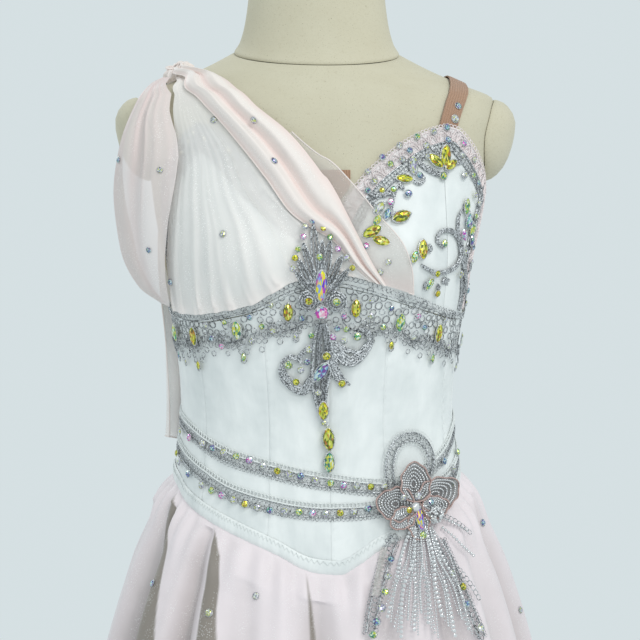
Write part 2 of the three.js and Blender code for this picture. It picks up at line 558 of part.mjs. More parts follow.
// Closed body through rings of points, ending in a point at each end
function loft(rings, first, last) {
  const sides = rings[0].length;
  const points = [...rings.flat(), first, last];
  const faces = [];
  for (let k = 0; k < sides; k++) {
    const next = (k + 1) % sides;
    for (let j = 0; j < rings.length - 1; j++) {
      const low = j * sides;
      faces.push([low + k, low + next, low + sides + next, low + sides + k]);
    }
    const top = (rings.length - 1) * sides;
    faces.push([points.length - 2, next, k], [points.length - 1, top + k, top + next]);
  }
  return closedBody(points, faces);
}

// Even stations on a smooth line through places
function stations(places, count) {
  const curve = new THREE.CatmullRomCurve3(
    places.map(({ turn, height }) => new THREE.Vector3(...formPoint(turn, height))), false, "centripetal");
  const last = places.length - 1;
  const found = [];
  for (let k = 0; k <= count; k++) {
    const share = curve.getUtoTmapping(k / count) * last;
    const rows = places.map((place, n) => ({ n, ...place }));
    found.push({ turn: along(rows, "n", "turn", share), height: along(rows, "n", "height", share) });
  }
  return found;
}
// Flat strip on the form along a line of places, between two distances to the left of its run
function strip(places, count, right, left, inner, outer, acrossSteps = 1) {
  const line = stations(places, count);
  const shifted = line.map((place, k) => {
    const before = line[Math.max(k - 1, 0)];
    const after = line[Math.min(k + 1, count)];
    const run = minus(formPoint(after.turn, after.height), formPoint(before.turn, before.height));
    const side = unit(cross(wayOut(formPoint, place.turn, place.height), run));
    const widths = Array.from({ length: acrossSteps + 1 }, (_, j) => mix(right, left, j / acrossSteps));
    return widths.map((width) => walk(place, side, width));
  });
  const face = (out) => (i, j) => onForm(shifted[i][j].turn, shifted[i][j].height, out);
  return wall(count, acrossSteps, face(outer), face(inner));
}

// One body from several that overlap
function fused(geometries) {
  let whole = null;
  for (const geometry of geometries) {
    const mesh = new wasm.Mesh({
      numProp: 3,
      vertProperties: Float32Array.from(geometry.attributes.position.array),
      triVerts: Uint32Array.from(geometry.index.array),
    });
    const solid = new wasm.Manifold(mesh);
    whole = whole ? whole.add(solid) : solid;
  }
  const { vertProperties, triVerts } = whole.getMesh();
  const geometry = new THREE.BufferGeometry();
  geometry.setAttribute("position", new THREE.BufferAttribute(Float32Array.from(vertProperties), 3));
  geometry.setIndex([...triVerts]);
  geometry.computeVertexNormals();
  return geometry;
}

const costume = new THREE.Group();
function place(name, geometry, finish) {
  const mesh = new THREE.Mesh(geometry, new THREE.MeshStandardMaterial(FINISH[finish]));
  mesh.name = name;
  costume.add(mesh);
}

// Seam turns and the columns between them, which every layer of the bodice shares
const seamTurn = (seam, height) => {
  const share = Math.min(Math.max((height - SEAM_FOOT) / (SEAM_TOP - SEAM_FOOT), 0), 1);
  return mix(seam.foot, seam.top, share);
};
const BODICE_COLUMNS = SEAMS.slice(0, -1).flatMap((seam, k) => (
  Array.from({ length: seam.steps }, (_, step) => ({ seam: k, share: step / seam.steps }))));
BODICE_COLUMNS.push({ seam: SEAMS.length - 2, share: 1 });
const columnTurn = ({ seam, share }, height) => (
  mix(seamTurn(SEAMS[seam], height), seamTurn(SEAMS[seam + 1], height), share));
// Where a column crosses a line round the bodice
function crossing(column, line) {
  let height = 920;
  for (let k = 0; k < 4; k++) height = heightOn(line, columnTurn(column, height));
  return height;
}

function makeForm() {
  const heights = [
    640, 665, 720, 790, 850, 880, 905, 920, 942, 970, 1000, 1025, 1050, 1075, 1100, 1130, 1150, 1163, 1170,
    1183, 1198,
  ];
  const rings = heights.map((height) => (
    BODICE_COLUMNS.slice(0, -1).map((column) => formPoint(columnTurn(column, height), height))));
  place("form_body", loft(rings, [0, 0, STAND.footOfForm], [0, 0, NECK.seam]), "linen");

  const neckRows = [
    { height: NECK.seam + SEAM_GAP, width: 64.5, front: 49, back: 57, drop: 13.7 },
    { height: 1206, width: 61, front: 46, back: 54, drop: 12.5 },
    { height: 1222, width: 56.5, front: 42.5, back: 50, drop: 10 },
    { height: 1244, width: 53.5, front: 41, back: 47, drop: 7 },
    { height: NECK.top, width: 52, front: 40, back: 46, drop: 5 },
  ];
  const sides = 20;
  const neckRing = ({ height, width, front, back, drop }) => Array.from({ length: sides }, (_, k) => {
    const angle = radians(k * 360 / sides);
    const depth = Math.cos(angle) > 0 ? front : back;
    return [width * Math.sin(angle), -depth * Math.cos(angle), height - drop * Math.cos(angle)];
  });
  const neck = loft(neckRows.map(neckRing), [0, 0, NECK.seam + SEAM_GAP], [0, 2, NECK.top]);
  place("form_neck", neck, "linen");
  const rim = neckRows.at(-1);
  const capRows = [
    { ...rim, height: rim.height + SEAM_GAP },
    { ...rim, height: rim.height + 5 },
    { height: rim.height + 9, width: 44, front: 33, back: 39, drop: 4 },
    { height: rim.height + 12, width: 24, front: 18, back: 22, drop: 2 },
  ];
  const cap = loft(capRows.map(neckRing), [0, 2, NECK.top + SEAM_GAP], [0, 2, NECK.top + NECK.capHeight]);
  place("neck_cap", cap, "linen");
}

// Padded plate that closes an armhole of the form
function makeArmPlate(name, side) {
  const plate = { height: 1131, reachUp: 32, reachAcross: 34, sides: 16 };
  const surface = (y, height) => {
    const depth = along(SECTIONS, "height", y < 0 ? "front" : "back", height);
    const square = along(SECTIONS, "height", "square", height);
    const inset = 1 - (Math.abs(y) / depth) ** square;
    return along(SECTIONS, "height", "width", height) * inset ** (1 / square);
  };
  const ring = (reach, out) => Array.from({ length: plate.sides }, (_, k) => {
    const angle = radians(k * 360 / plate.sides);
    const y = reach * plate.reachAcross * Math.cos(angle);
    const height = plate.height + reach * plate.reachUp * Math.sin(angle);
    return [side * (surface(y, height) + out), y, height];
  });
  const middle = (out) => [side * (surface(0, plate.height) + out), 0, plate.height];
  const profile = [[0.45, 0.8], [0.78, 0.9], [1, 0.7], [1, 4], [0.86, 12], [0.5, 18.5]];
  const rings = profile.map(([reach, out]) => ring(reach, out));
  place(name, loft(rings, middle(0.8), middle(20.5)), "linen");
}

function makeStand() {
  const { baseRadius, baseHeight, poleRadius, footOfForm } = STAND;
  const socketRadius = poleRadius + SEAM_GAP;
  const profile = [
    [0, 0], [baseRadius - 2, 0], [baseRadius, 2], [baseRadius, 8], [baseRadius - 6, baseHeight - 2],
    [40, baseHeight], [26, 22], [22, 34], [socketRadius, 34], [socketRadius, baseHeight], [0, baseHeight],
  ];
  const base = new THREE.LatheGeometry(profile.map(([r, z]) => new THREE.Vector2(r, z)), 24);
  place("stand_base", standing(base), "steel");
  const length = footOfForm - SEAM_GAP - (baseHeight + SEAM_GAP);
  const pole = new THREE.CylinderGeometry(poleRadius, poleRadius, length, 20);
  pole.translate(0, baseHeight + SEAM_GAP + length / 2, 0);
  place("stand_pole", standing(pole), "steel");
}
const standing = (geometry) => geometry.rotateX(Math.PI / 2);

// Satin panel of the bodice between two seams
function makePanel(index) {
  const seam = SEAMS[index];
  const levels = 7;
  const inset = (i) => (i === 0 ? 1 : i === seam.steps ? -1 : 0) * SEAM_GAP / 2;
  const face = (out) => (i, j) => {
    const column = { seam: index, share: i / seam.steps };
    const height = mix(crossing(column, HEM_LINE), crossing(column, UNDERBUST_LINE), j / levels);
    const turn = columnTurn(column, height);
    const point = onForm(turn, height, out);
    const across = slopesAt(formPoint, turn, height).round;
    return add(point, unit(across), inset(i));
  };
  place(`bodice_${seam.name}`, wall(seam.steps, levels, face(SATIN.outer), face(SATIN.inner)), "satin");
}

// Half of a cup: the inner piece runs from the middle to the cup's seam, the outer one to the side
function makeCup(side, half) {
  const cup = CUPS[side];
  const halves = {
    inner: { from: cup.inner, to: cup.middle, top: cup.innerTop, columns: 8 },
    outer: { from: cup.middle, to: cup.outer, top: cup.outerTop, columns: 5 },
  };
  const { from, to, top, columns } = halves[half];
  const levels = 8;
  const turnAt = (line, height) => along(line, "height", "turn", height);
  const sign = side === "right" ? 1 : -1;
  const face = (out) => (i, j) => {
    const share = i / columns;
    let height = 1010;
    let turn = 0;
    for (let k = 0; k < 5; k++) {
      turn = mix(turnAt(from, height), turnAt(to, height), share);
      const footTurn = mix(turnAt(from, SEAM_TOP), turnAt(to, SEAM_TOP), share);
      const footHeight = heightOn(UNDERBUST_LINE, footTurn) + 3 * SEAM_GAP;
      height = mix(footHeight, along(top, "share", "height", share), j / levels);
    }
    const point = onForm(turn, height, out);
    const across = slopesAt(formPoint, turn, height).round;
    const inset = (i === 0 ? 1 : i === columns ? -1 : 0) * sign * SEAM_GAP / 2;
    return add(point, unit(across), inset);
  };
  place(`cup_${side}_${half}`, wall(columns, levels, face(SATIN.outer), face(SATIN.inner)), "satin");
}

// Band that follows a line round the bodice, in a front and a back piece
function makeBand(name, line, below, above, outer, finish) {
  const ends = [2, 8].map((seam) => BODICE_COLUMNS.findIndex((column) => column.seam === seam));
  const back = [...BODICE_COLUMNS.slice(ends[1]), ...BODICE_COLUMNS.slice(1, ends[0] + 1)];
  const pieces = { front: BODICE_COLUMNS.slice(ends[0], ends[1] + 1), back };
  for (const [part, columns] of Object.entries(pieces)) {
    const last = columns.length - 1;
    const face = (out) => (i, j) => {
      const height = crossing(columns[i], line) + (j ? above : -below);
      const turn = columnTurn(columns[i], height);
      const inset = (i === 0 ? 1 : i === last ? -1 : 0) * SEAM_GAP / 2;
      return add(onForm(turn, height, out), unit(slopesAt(formPoint, turn, height).round), inset);
    };
    place(`${name}_${part}`, wall(last, 1, face(outer), face(TRIM.inner)), finish);
  }
}

// Underbust lace: cord net with pointed drops below, its largest gaps cut through in front
function makeLace(name, from, to, columns, levels, repeat, holes) {
  const face = (out) => (i, j) => {
    const turn = mix(from, to, i / columns);
    const point = 1 - Math.abs(2 * ((i % repeat) / repeat) - 1);
    const foot = heightOn(LACE_FOOT_LINE, turn) - LACE_POINT * point;
    const top = heightOn(LACE_TOP_LINE, turn) - (1 - point) * 1.2;
    return onForm(turn, mix(foot, top, levels[j]), out);
  };
  const cut = (i, j) => holes.some((hole) => hole.level === j && i % repeat === hole.step);
  place(name, wall(columns, levels.length - 1, face(NET.outer), face(NET.inner), cut), "lace");
}

function makeCupEdges(side) {
  const outline = CUP_OUTLINE[side];
  const sign = side === "right" ? -1 : 1;
  const edge = (range, count, outer) => {
    const [a, b] = [sign * range.outside, sign * range.inside];
    return strip(outline, count, Math.min(a, b), Math.max(a, b), TRIM.inner, outer);
  };
  const count = side === "right" ? 34 : 26;
  place(`cup_${side}_lace_edge`, edge(LACE_EDGE, count, TRIM.outer), "blushLace");
  place(`cup_${side}_braid`, edge(CUP_BRAID, count, TRIM.outer + 0.2), "lace");
}

// Sheer patch in the notch between the cups
function makeBridge() {
  const levels = 5;
  const columns = 3;
  const turnAt = (side, height) => along(CUPS[side].inner, "height", "turn", height);
  const face = (out) => (i, j) => {
    const height = mix(BRIDGE.foot, BRIDGE.top, j / levels);
    const from = turnAt("left", height) + BRIDGE.clearance;
    const to = turnAt("right", height) - BRIDGE.clearance;
    return onForm(mix(from, to, i / columns), height, out);
  };
  place("neck_bridge", wall(columns, levels, face(BRIDGE.outer), face(SATIN.inner)), "elastic");
}

// Cloth between two long edges, with soft folds along it
function makeDrape(name, drape) {
  const { rows, crests, levels } = drape;
  const marks = [0];
  crests.forEach((crest, k) => {
    const before = k === 0 ? 0 : (crests[k - 1] + crest) / 2;
    if (before > 0) marks.push(before);
    marks.push(crest);
  });
  marks.push((crests.at(-1) + 1) / 2, 1);
  const raised = (share) => (crests.includes(share) ? 1 : share === 0 || share === 1 ? 0.15 : 0);
  const value = (key, share) => along(rows, "share", key, share);
  const tuck = name === "drape_cup" ? 1 : 0;
  const face = (depth) => (i, j) => {
    const share = marks[marks.length - 1 - i];
    const level = levels[j];
    const turn = mix(value("turnA", level), value("turnB", level), share);
    let height = mix(value("heightA", level), value("heightB", level), share);
    const footTurn = mix(rows.at(-1).turnA, rows.at(-1).turnB, share);
    const footHeight = mix(rows.at(-1).heightA, rows.at(-1).heightB, share);
    height += tuck * level ** 3 * (heightOn(LACE_TOP_LINE, footTurn) + 0.6 - footHeight);
    const quiet = tuck && share > 0.76 ? 0.25 : 1;
    const out = value("out", level) + quiet * value("fold", level) * raised(share);
    return onForm(turn, height, out + depth);
  };
  const columns = marks.length - 1;
  place(name, wall(columns, levels.length - 1, face(ORGANZA), face(0)), "organza");
}

function makeSideFall() {
  const { rows, levels, acrossSteps, bulge, foldDepth } = DRAPE_SIDE;
  const value = (key, share) => along(rows, "share", key, share);
  const surface = (share, level) => {
    const front = onForm(value("turn", level), value("height", level), value("out", level));
    const outer = [value("x", level), value("y", level), value("z", level)];
    const behind = [outer[0] + value("backX", level), outer[1] + value("backY", level), outer[2]];
    const edgeShare = 0.75;
    if (share > edgeShare) {
      const turned = (share - edgeShare) / (1 - edgeShare);
      return outer.map((v, k) => mix(v, behind[k], turned));
    }
    const run = share / edgeShare;
    const loose = Math.sin(Math.PI * level);
    const fold = foldDepth * Math.exp(-(((run - 0.58) / 0.13) ** 2));
    const lift = loose * (bulge * Math.sin(Math.PI * run) - fold);
    const point = front.map((v, k) => mix(v, outer[k], run));
    return add(point, unit([-0.45, -0.9, 0]), lift);
  };
  const face = (depth) => (i, j) => {
    const share = i / acrossSteps;
    const level = levels[j];
    const step = 0.01;
    const round = minus(surface(Math.min(share + step, 1), level), surface(Math.max(share - step, 0), level));
    const down = minus(surface(share, Math.min(level + step, 1)), surface(share, Math.max(level - step, 0)));
    return add(surface(share, level), unit(cross(round, down)), depth);
  };
  place("drape_side", wall(acrossSteps, levels.length - 1, face(0), face(-ORGANZA)), "organza");
}

// Low dome on the form: rings of reach and height, over a flat back
function dome(centre, sides, reachAt, rings) {
  const out = wayOut(formPoint, centre.turn, centre.height);
  const round = unit(slopesAt(formPoint, centre.turn, centre.height).round);
  const up = cross(out, round);
  const ring = ({ share, height }) => Array.from({ length: sides }, (_, k) => {
    const angle = radians(k * 360 / sides);
    const [across, rise] = reachAt(angle);
    const way = round.map((v, n) => v * across * share + up[n] * rise * share);
    const spot = walk(centre, unit(way), Math.hypot(...way));
    return onForm(spot.turn, spot.height, height);
  });
  const middle = (height) => onForm(centre.turn, centre.height, height);
  return loft(rings.slice(1, -1).map(ring), middle(rings[0].height), middle(rings.at(-1).height));
}

// Gathered knot where the organza meets on the shoulder
function makeKnot() {
  const { radius, inner, shoulder, rise, crown } = KNOT;
  const round = (angle) => [radius * Math.cos(angle), radius * Math.sin(angle)];
  place("shoulder_knot", dome(KNOT, 12, round, [
    { height: inner }, { share: 1, height: inner }, { share: 1, height: shoulder },
    { share: 0.6, height: rise }, { height: crown },
  ]), "organza");
}

// Cord of a flat section along a route on the front
function cordStrip(route, width, inner, outer, steps = Math.max(3, route.length - 1)) {
  return strip(route.map(placeAcross), steps, -width / 2, width / 2, inner, outer);
}

function makeOrnament() {
  const { cord, overLace, overOrganza, plumes, plumeFoot, spirals, spiralRadius, stones, routes } = ORNAMENT;
  const pieces = [];
  plumes.forEach((tip, k) => {
    const route = [0.1, 0.4, 0.7, 1].map((t) => {
      const bow = (tip.across - plumeFoot.across) * 0.054 * Math.sin(Math.PI * t);
      return [mix(plumeFoot.across, tip.across, t ** 1.25) + bow, mix(plumeFoot.height, tip.height, t)];
    });
    pieces.push(cordStrip(route, cord + 0.12 * k, overOrganza, overOrganza + 1.6 + 0.07 * k));
  });
  for (const { across, height, start, way } of spirals) {
    const route = Array.from({ length: 8 }, (_, k) => {
      const angle = radians(start + way * k * 48);
      const radius = spiralRadius - k * 0.35;
      return [across + radius * Math.cos(angle), height + radius * Math.sin(angle)];
    });
    pieces.push(cordStrip(route, cord, overLace + 1.2, overOrganza + 0.9 + 0.1 * way));
  }
  routes.forEach((route, k) => {
    pieces.push(cordStrip(route, cord + 0.15 * k, overLace, overLace + 2.2 + 0.09 * k));
  });
  stones.forEach(({ across, height, width, length, lift, rise }) => {
    const base = lift - 0.2;
    const top = lift + rise;
    const reach = (angle) => [Math.cos(angle) * width / 2, Math.sin(angle) * length / 2];
    pieces.push(dome(placeAcross([across, height]), 6, reach, [
      { height: base }, { share: 1, height: base }, { share: 1, height: top - 1.2 }, { height: top },
    ]));
  });
  place("centre_ornament", fused(pieces), "lace");
}

function makeCupScroll(name, routes) {
  const pieces = routes.map((route, k) => (
    cordStrip(route, 2.4 + 0.1 * k, TRIM.inner, TRIM.outer + 0.4 + 0.07 * k)));
  place(name, fused(pieces), "lace");
}

function makeBrooch() {
  const { inner, rim, rise, petals, reach, notch, squash, firstPetal } = BROOCH;
  const radius = (angle) => {
    const petal = 0.5 + 0.5 * Math.cos(petals * (angle - radians(firstPetal)));
    const length = mix(notch, reach, petal ** 0.6);
    return [length * Math.cos(angle), length * squash * Math.sin(angle)];
  };
  place("brooch_flower", dome(BROOCH, petals * 5, radius, [
    { height: inner }, { share: 0.5, height: inner }, { share: 1, height: inner },
    { share: 1, height: rim }, { share: 0.7, height: rim + 2.2 }, { share: 0.35, height: rim + 1.2 },
    { share: 0.16, height: rim + rise }, { height: rim + rise + 1 },
  ]), "lace");
  const loop = cordStrip(BRAID_LOOP.path, BRAID_LOOP.width, BRAID_LOOP.inner, BRAID_LOOP.outer, 14);
  place("braid_loop", loop, "lace");
}

// Outline of the skirt before its folds, and the skirt itself
const skirtTop = (turn) => heightOn(HEM_LINE, turn) - SKIRT_TUCK;
function skirtEnvelope(turn, drop, extra = 0) {
  const top = skirtTop(turn);
  const start = formPoint(turn, top);
  const way = [Math.sin(radians(turn)) * 0.92, -Math.cos(radians(turn)), 0];
  const out = along(SKIRT_FLARE, "drop", "out", drop) + extra;
  const point = add(start, unit(way), out);
  return [point[0], point[1], top - drop];
}
function skirtFold(turn, drop) {
  let depth = 0;
  for (const fold of SKIRT_FOLDS) {
    const away = ((turn - fold.turn + 540) % 360) - 180;
    const grown = Math.min(Math.max((drop - fold.start) / 300, 0), 1) ** 0.62;
    depth += fold.depth * grown * Math.exp(-((away / (fold.spread * (1 + 0.25 * grown))) ** 2));
  }
  return depth;
}
function skirtSurface(turn, level) {
  const drop = level * (skirtTop(turn) - SKIRT_HEM);
  return skirtEnvelope(turn, drop, -skirtFold(turn, drop));
}
function makeSkirt() {
  const marks = SKIRT_FOLDS.flatMap((fold, k) => {
    const next = k + 1 < SKIRT_FOLDS.length ? SKIRT_FOLDS[k + 1].turn : SKIRT_FOLDS[0].turn + 360;
    return [fold.turn, fold.turn + fold.spread, (fold.turn + next) / 2, next - fold.spread];
  });
  marks.push(SKIRT_FOLDS[0].turn + 360);
  for (const panel of SKIRT_PANELS) {
    const columns = marks.filter((turn) => turn >= panel.from && turn <= panel.to);
    const last = columns.length - 1;
    const face = (depth) => (i, j) => {
      const turn = columns[i];
      const level = SKIRT_LEVELS[SKIRT_LEVELS.length - 1 - j];
      const step = 0.4;
      const round = minus(skirtSurface(turn + step, level), skirtSurface(turn - step, level));
      const low = Math.min(level + 0.006, 1);
      const high = Math.max(level - 0.006, 0);
      const up = minus(skirtSurface(turn, high), skirtSurface(turn, low));
      const inset = (i === 0 ? 1 : i === last ? -1 : 0) * SEAM_GAP / 2;
      const point = add(skirtSurface(turn, level), unit(cross(round, up)), -depth);
      return add(point, unit([round[0], round[1], 0]), inset);
    };
    place(panel.name, wall(last, SKIRT_LEVELS.length - 1, face(0), face(ORGANZA)), "organza");
  }
}

// Strip of braid that hangs over the skirt
function makeTail({ name, rows }) {
  const table = rows.map(([turn, height], n) => ({ n, turn, height }));
  const steps = 9;
  const face = (out) => (i, j) => {
    const n = (1 - j / steps) * (rows.length - 1);
    const turn = along(table, "n", "turn", n);
    const height = along(table, "n", "height", n);
    const drop = skirtTop(turn) - height;
    const middle = skirtEnvelope(turn, drop, out);
    const round = unit(minus(skirtEnvelope(turn + 1, drop), skirtEnvelope(turn - 1, drop)));
    return add(middle, [round[0], round[1], 0], (i - 0.5) * TAIL.width);
  };
  place(name, wall(1, steps, face(TAIL.outer), face(TAIL.inner)), "lace");
}

function makeTassel() {
  const { headTurn, headHeight, headRadius, headSquash, strands, thick, top, shortest, longest } = TASSEL;
  const round = (angle) => [headRadius * Math.cos(angle), headRadius * headSquash * Math.sin(angle)];
  const head = dome({ turn: headTurn, height: headHeight }, 10, round, [
    { height: 4.6 }, { share: 1, height: 4.6 }, { share: 1, height: 9.5 }, { share: 0.5, height: 11 },
    { height: 11.4 },
  ]);
  const pieces = [head];
  for (let k = 0; k < strands; k++) {
    const share = k / (strands - 1);
    const endTurn = mix(TASSEL.firstTurn, TASSEL.lastTurn, share);
    const startTurn = headTurn + TASSEL.spreadAtHead * (2 * share - 1);
    const end = mix(shortest, longest, (k * 7 % strands) / strands);
    const rings = [0, 0.1, 0.25, 0.6, 1].map((t) => {
      const height = mix(top, end, t);
      const turn = mix(startTurn, endTurn, t ** 0.8);
      const drop = Math.max(skirtTop(turn) - height, 0);
      const lift = t > 0 && k % 2 ? TASSEL.liftOfOddStrands : TASSEL.lift;
      const centre = skirtEnvelope(turn, drop, lift);
      centre[2] = height;
      return [0, 1, 2].map((side) => {
        const angle = radians(side * 120 + 30);
        return [centre[0] + thick * Math.cos(angle), centre[1] + thick * Math.sin(angle), height];
      });
    });
    const middle = (ring) => [0, 1, 2].map((n) => (ring[0][n] + ring[1][n] + ring[2][n]) / 3);
    pieces.push(loft(rings, middle(rings[0]), middle(rings.at(-1))));
  }
  place("brooch_tassel", fused(pieces), "lace");
}

makeForm();
makeArmPlate("arm_plate_left", -1);
makeArmPlate("arm_plate_right", 1);
makeStand();
SEAMS.slice(0, -1).forEach((seam, index) => makePanel(index));
for (const side of ["left", "right"]) {
  makeCup(side, "inner");
  makeCup(side, "outer");
  makeCupEdges(side);
}
makeBand("hem_binding", HEM_LINE, BINDING_OVERHANG, BINDING_WIDTH, TRIM.outer - 0.2, "satin");
makeBand("upper_belt", UPPER_BELT_LINE, BELT_WIDTH / 2, BELT_WIDTH / 2, TRIM.outer + 0.1, "lace");
makeBand("lower_belt", LOWER_BELT_LINE, BELT_WIDTH / 2, BELT_WIDTH / 2, TRIM.outer + 0.1, "lace");
makeLace("underbust_lace_front", -90, 90, 48, [0, 0.2, 0.4, 0.6, 0.8, 1], 6, LACE_HOLES);
makeLace("underbust_lace_back", 90.2, 269.8, 28, [0, 0.5, 1], 4, []);
makeBridge();
const strap = strip(STRAP.path, 22, -STRAP.width / 2, STRAP.width / 2, STRAP.inner, STRAP.outer, 2);
place("shoulder_strap", strap, "elastic");
makeDrape("drape_cup", DRAPE_CUP);
makeDrape("drape_sash", DRAPE_SASH);
makeDrape("drape_flap", DRAPE_FLAP);
makeDrape("drape_back", DRAPE_BACK);
makeSideFall();
makeKnot();
makeOrnament();
makeCupScroll("cup_scroll_upper", CUP_SCROLLS.upper);
makeCupScroll("cup_scroll_lower", CUP_SCROLLS.lower);
makeBrooch();
makeSkirt();
TAILS.forEach(makeTail);
makeTassel();

export default costume;
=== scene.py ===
"""Child's ballet costume on a linen dress form: boned satin bodice, silver lace, organza drape and skirt."""
import math
import random

import bpy
import numpy as np
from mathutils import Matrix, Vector
from mathutils.bvhtree import BVHTree


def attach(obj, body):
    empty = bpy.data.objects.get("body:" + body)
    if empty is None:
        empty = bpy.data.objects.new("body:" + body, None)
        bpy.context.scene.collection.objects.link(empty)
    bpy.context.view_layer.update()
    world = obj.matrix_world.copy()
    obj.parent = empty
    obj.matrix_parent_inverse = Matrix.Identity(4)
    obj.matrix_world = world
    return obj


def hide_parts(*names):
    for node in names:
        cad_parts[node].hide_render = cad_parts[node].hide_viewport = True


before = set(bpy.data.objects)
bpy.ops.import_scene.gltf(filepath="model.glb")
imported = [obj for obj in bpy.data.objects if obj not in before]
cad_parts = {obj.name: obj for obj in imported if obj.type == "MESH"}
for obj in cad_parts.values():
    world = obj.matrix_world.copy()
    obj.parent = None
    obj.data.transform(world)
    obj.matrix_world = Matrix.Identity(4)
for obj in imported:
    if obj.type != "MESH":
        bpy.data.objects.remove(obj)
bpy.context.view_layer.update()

MM = 0.001
dice = random.Random(11)


def table(columns, text):
    """Rows of numbers under named columns, one row a line or between bars."""
    names = columns.split()
    lines = [line for line in text.replace("\n", "|").split("|") if line.strip()]
    return [dict(zip(names, map(float, line.split()))) for line in lines]


# Sizes in millimetres, in the frame of the solids: front towards -Y, up along +Z
SECTIONS = table("height width front back square drop", """
    640 118 84 92 2.3 0
    660 124 90 99 2.3 0
    700 129 95 106 2.3 0
    760 129 96 108 2.3 0
    820 121 90 93 2.3 0
    870 111 83 79 2.3 0
    920 105.5 79 72.5 2.3 0
    960 108 82 74 2.3 0
    1000 113.5 86 77 2.35 0
    1040 122 90 80 2.4 0
    1075 128 86 80 2.45 0
    1100 131 80 77 2.5 0
    1130 136 73 73 2.5 0
    1150 140 67 69 2.4 0
    1163 140 62 66 2.2 2
    1176 113 57 63 2 5
    1187 88 54 61 2 9
    1198 66 50 58 2 14""")
HEM_LINE = table("turn height", """
    -180 850 | -135 861 | -92 867 | -74 863 | -61 853.5 | -42 841.8 | -26.6 831.6
    -14.4 821.7 | -2.6 808.6 | 3.2 806.5 | 9.5 813.6 | 16.6 823.1 | 32 834 | 48.4 845.3
    62 854.2 | 79 866 | 92 868 | 135 861 | 180 850""")
UNDERBUST_LINE = table("turn height", """
    -180 1004 | -135 1004 | -92 999 | -70 994 | -50 991 | -35 995 | -22 1001
    -14 1009 | -8 1015 | 1.3 1019 | 9 1016 | 18 1011 | 30 1004 | 42 998
    55 993 | 70 991 | 92 999 | 135 1004 | 180 1004""")
LACE_TOP_LINE = table("turn height", """
    -180 1003.5 | -92 1002 | -66 998.4 | -54 997.1 | -45.5 998.5 | -34.7 1001.6 | -23.6 1006.7
    -15.8 1015.3 | -9.3 1022.4 | 3.3 1027.9 | 10.8 1024.4 | 19.8 1018.7 | 32.4 1011.5 | 44.2 1004.6
    55 999.7 | 71 996.7 | 92 1000 | 180 1003.5""")
LACE_FOOT_LINE = table("turn height", """
    -180 975 | -86 973 | -48 977.4 | -20.7 985 | -3.8 993.2 | 14.8 987.7 | 36 980.5
    56 971.6 | 85 965 | 180 975""")
UPPER_BELT_LINE = table("turn height", """
    -180 915 | -135 917 | -80 911 | -66 905.8 | -52.6 898.1 | -36.4 888.9 | -21.6 882.8
    -7.2 875.9 | 1.5 872 | 10.9 868.5 | 20.6 866.9 | 34 872 | 50 881.9 | 59.3 889.3
    70.5 899.5 | 92 911 | 135 917 | 180 915""")
LOWER_BELT_LINE = table("turn height", """
    -180 893 | -135 896 | -82 890.4 | -62 880.9 | -50.3 874.1 | -35 863.7 | -20.7 857
    -7 851.6 | 1.4 849.9 | 10.4 850.1 | 20 852.1 | 34 856.5 | 60 868.8 | 78 880
    92 888 | 135 896 | 180 893""")
# Each satin panel with the turn of its first seam, at the top and at the foot
SEAMS = [
    ("centre_back_left", -180, -180),
    ("side_back_left", -138, -138),
    ("side_left", -92, -92),
    ("side_front_left", -56, -49.4),
    ("centre_front_left", -21, -17.8),
    ("centre_front_right", 1.3, 1.3),
    ("side_front_right", 21.5, 21.5),
    ("side_right", 57.4, 60.5),
    ("side_back_right", 92, 92),
    ("centre_back_right", 138, 138),
    ("end", 180, 180),
]
# Side edges of the cup halves by height, and their top edges by the share across
CUPS = {
    "right": {
        "inner": table("height turn", "1016 1.3 | 1056 1 | 1064 1.4 | 1078 3.4 | 1092 6.4"),
        "middle": table("height turn", "998 50 | 1105 38.7 | 1140 37.6"),
        "outer": table("height turn", "990 75 | 1013 74 | 1036 68.5 | 1056 71 | 1080 76 | 1090 77.5"),
        "innerTop": table("share height", "0 1091 | 0.13 1104 | 0.31 1116 | 0.5 1126 | 0.73 1133.5 | 1 1138"),
        "outerTop": table("share height", "0 1138 | 0.14 1136 | 0.32 1128 | 0.55 1116 | 0.83 1101 | 1 1089"),
    },
    "left": {
        "inner": table("height turn", "1016 1.2 | 1056 0.4 | 1064 -1.2 | 1076 -7 | 1092 -14"),
        "middle": table("height turn", "998 -49 | 1105 -38 | 1140 -36.8"),
        "outer": table("height turn", "990 -74 | 1013 -72 | 1040 -68 | 1070 -65 | 1092 -62"),
        "innerTop": table("share height", "0 1091 | 0.25 1110 | 0.45 1122 | 0.75 1134 | 1 1138"),
        "outerTop": table("share height", "0 1138 | 0.33 1129.5 | 0.65 1115.5 | 0.88 1100 | 1 1093"),
    },
}
CUP_OUTLINE = {
    "right": table("turn height", """
    1.2 1064 | 2.6 1082 | 4.6 1096 | 8.9 1109 | 14.7 1121 | 21.2 1131
    28.6 1138.5 | 37.4 1143.5 | 43.4 1141 | 51 1133 | 60.3 1121 | 72.3 1107
    81 1092 | 78.6 1080 | 73.7 1056.5 | 71 1036 | 76.6 1013.6 | 77 1001"""),
    "left": table("turn height", """
    -1.4 1062.5 | -5.5 1077 | -12.6 1098 | -18.2 1116 | -23.4 1128 | -30.3 1139
    -36.6 1143 | -45.8 1135 | -55 1121 | -64 1102 | -68 1070 | -70.5 1040
    -74.5 1014 | -75.5 1003"""),
}
STRAP_PATH = table("turn height", """
    40 1144 | 42.4 1153 | 46 1162 | 56 1170 | 72 1175.4 | 90 1177.5
    108 1175.4 | 124 1169 | 135 1158 | 142 1122 | 145 1080 | 146 1040
    146 1005""")
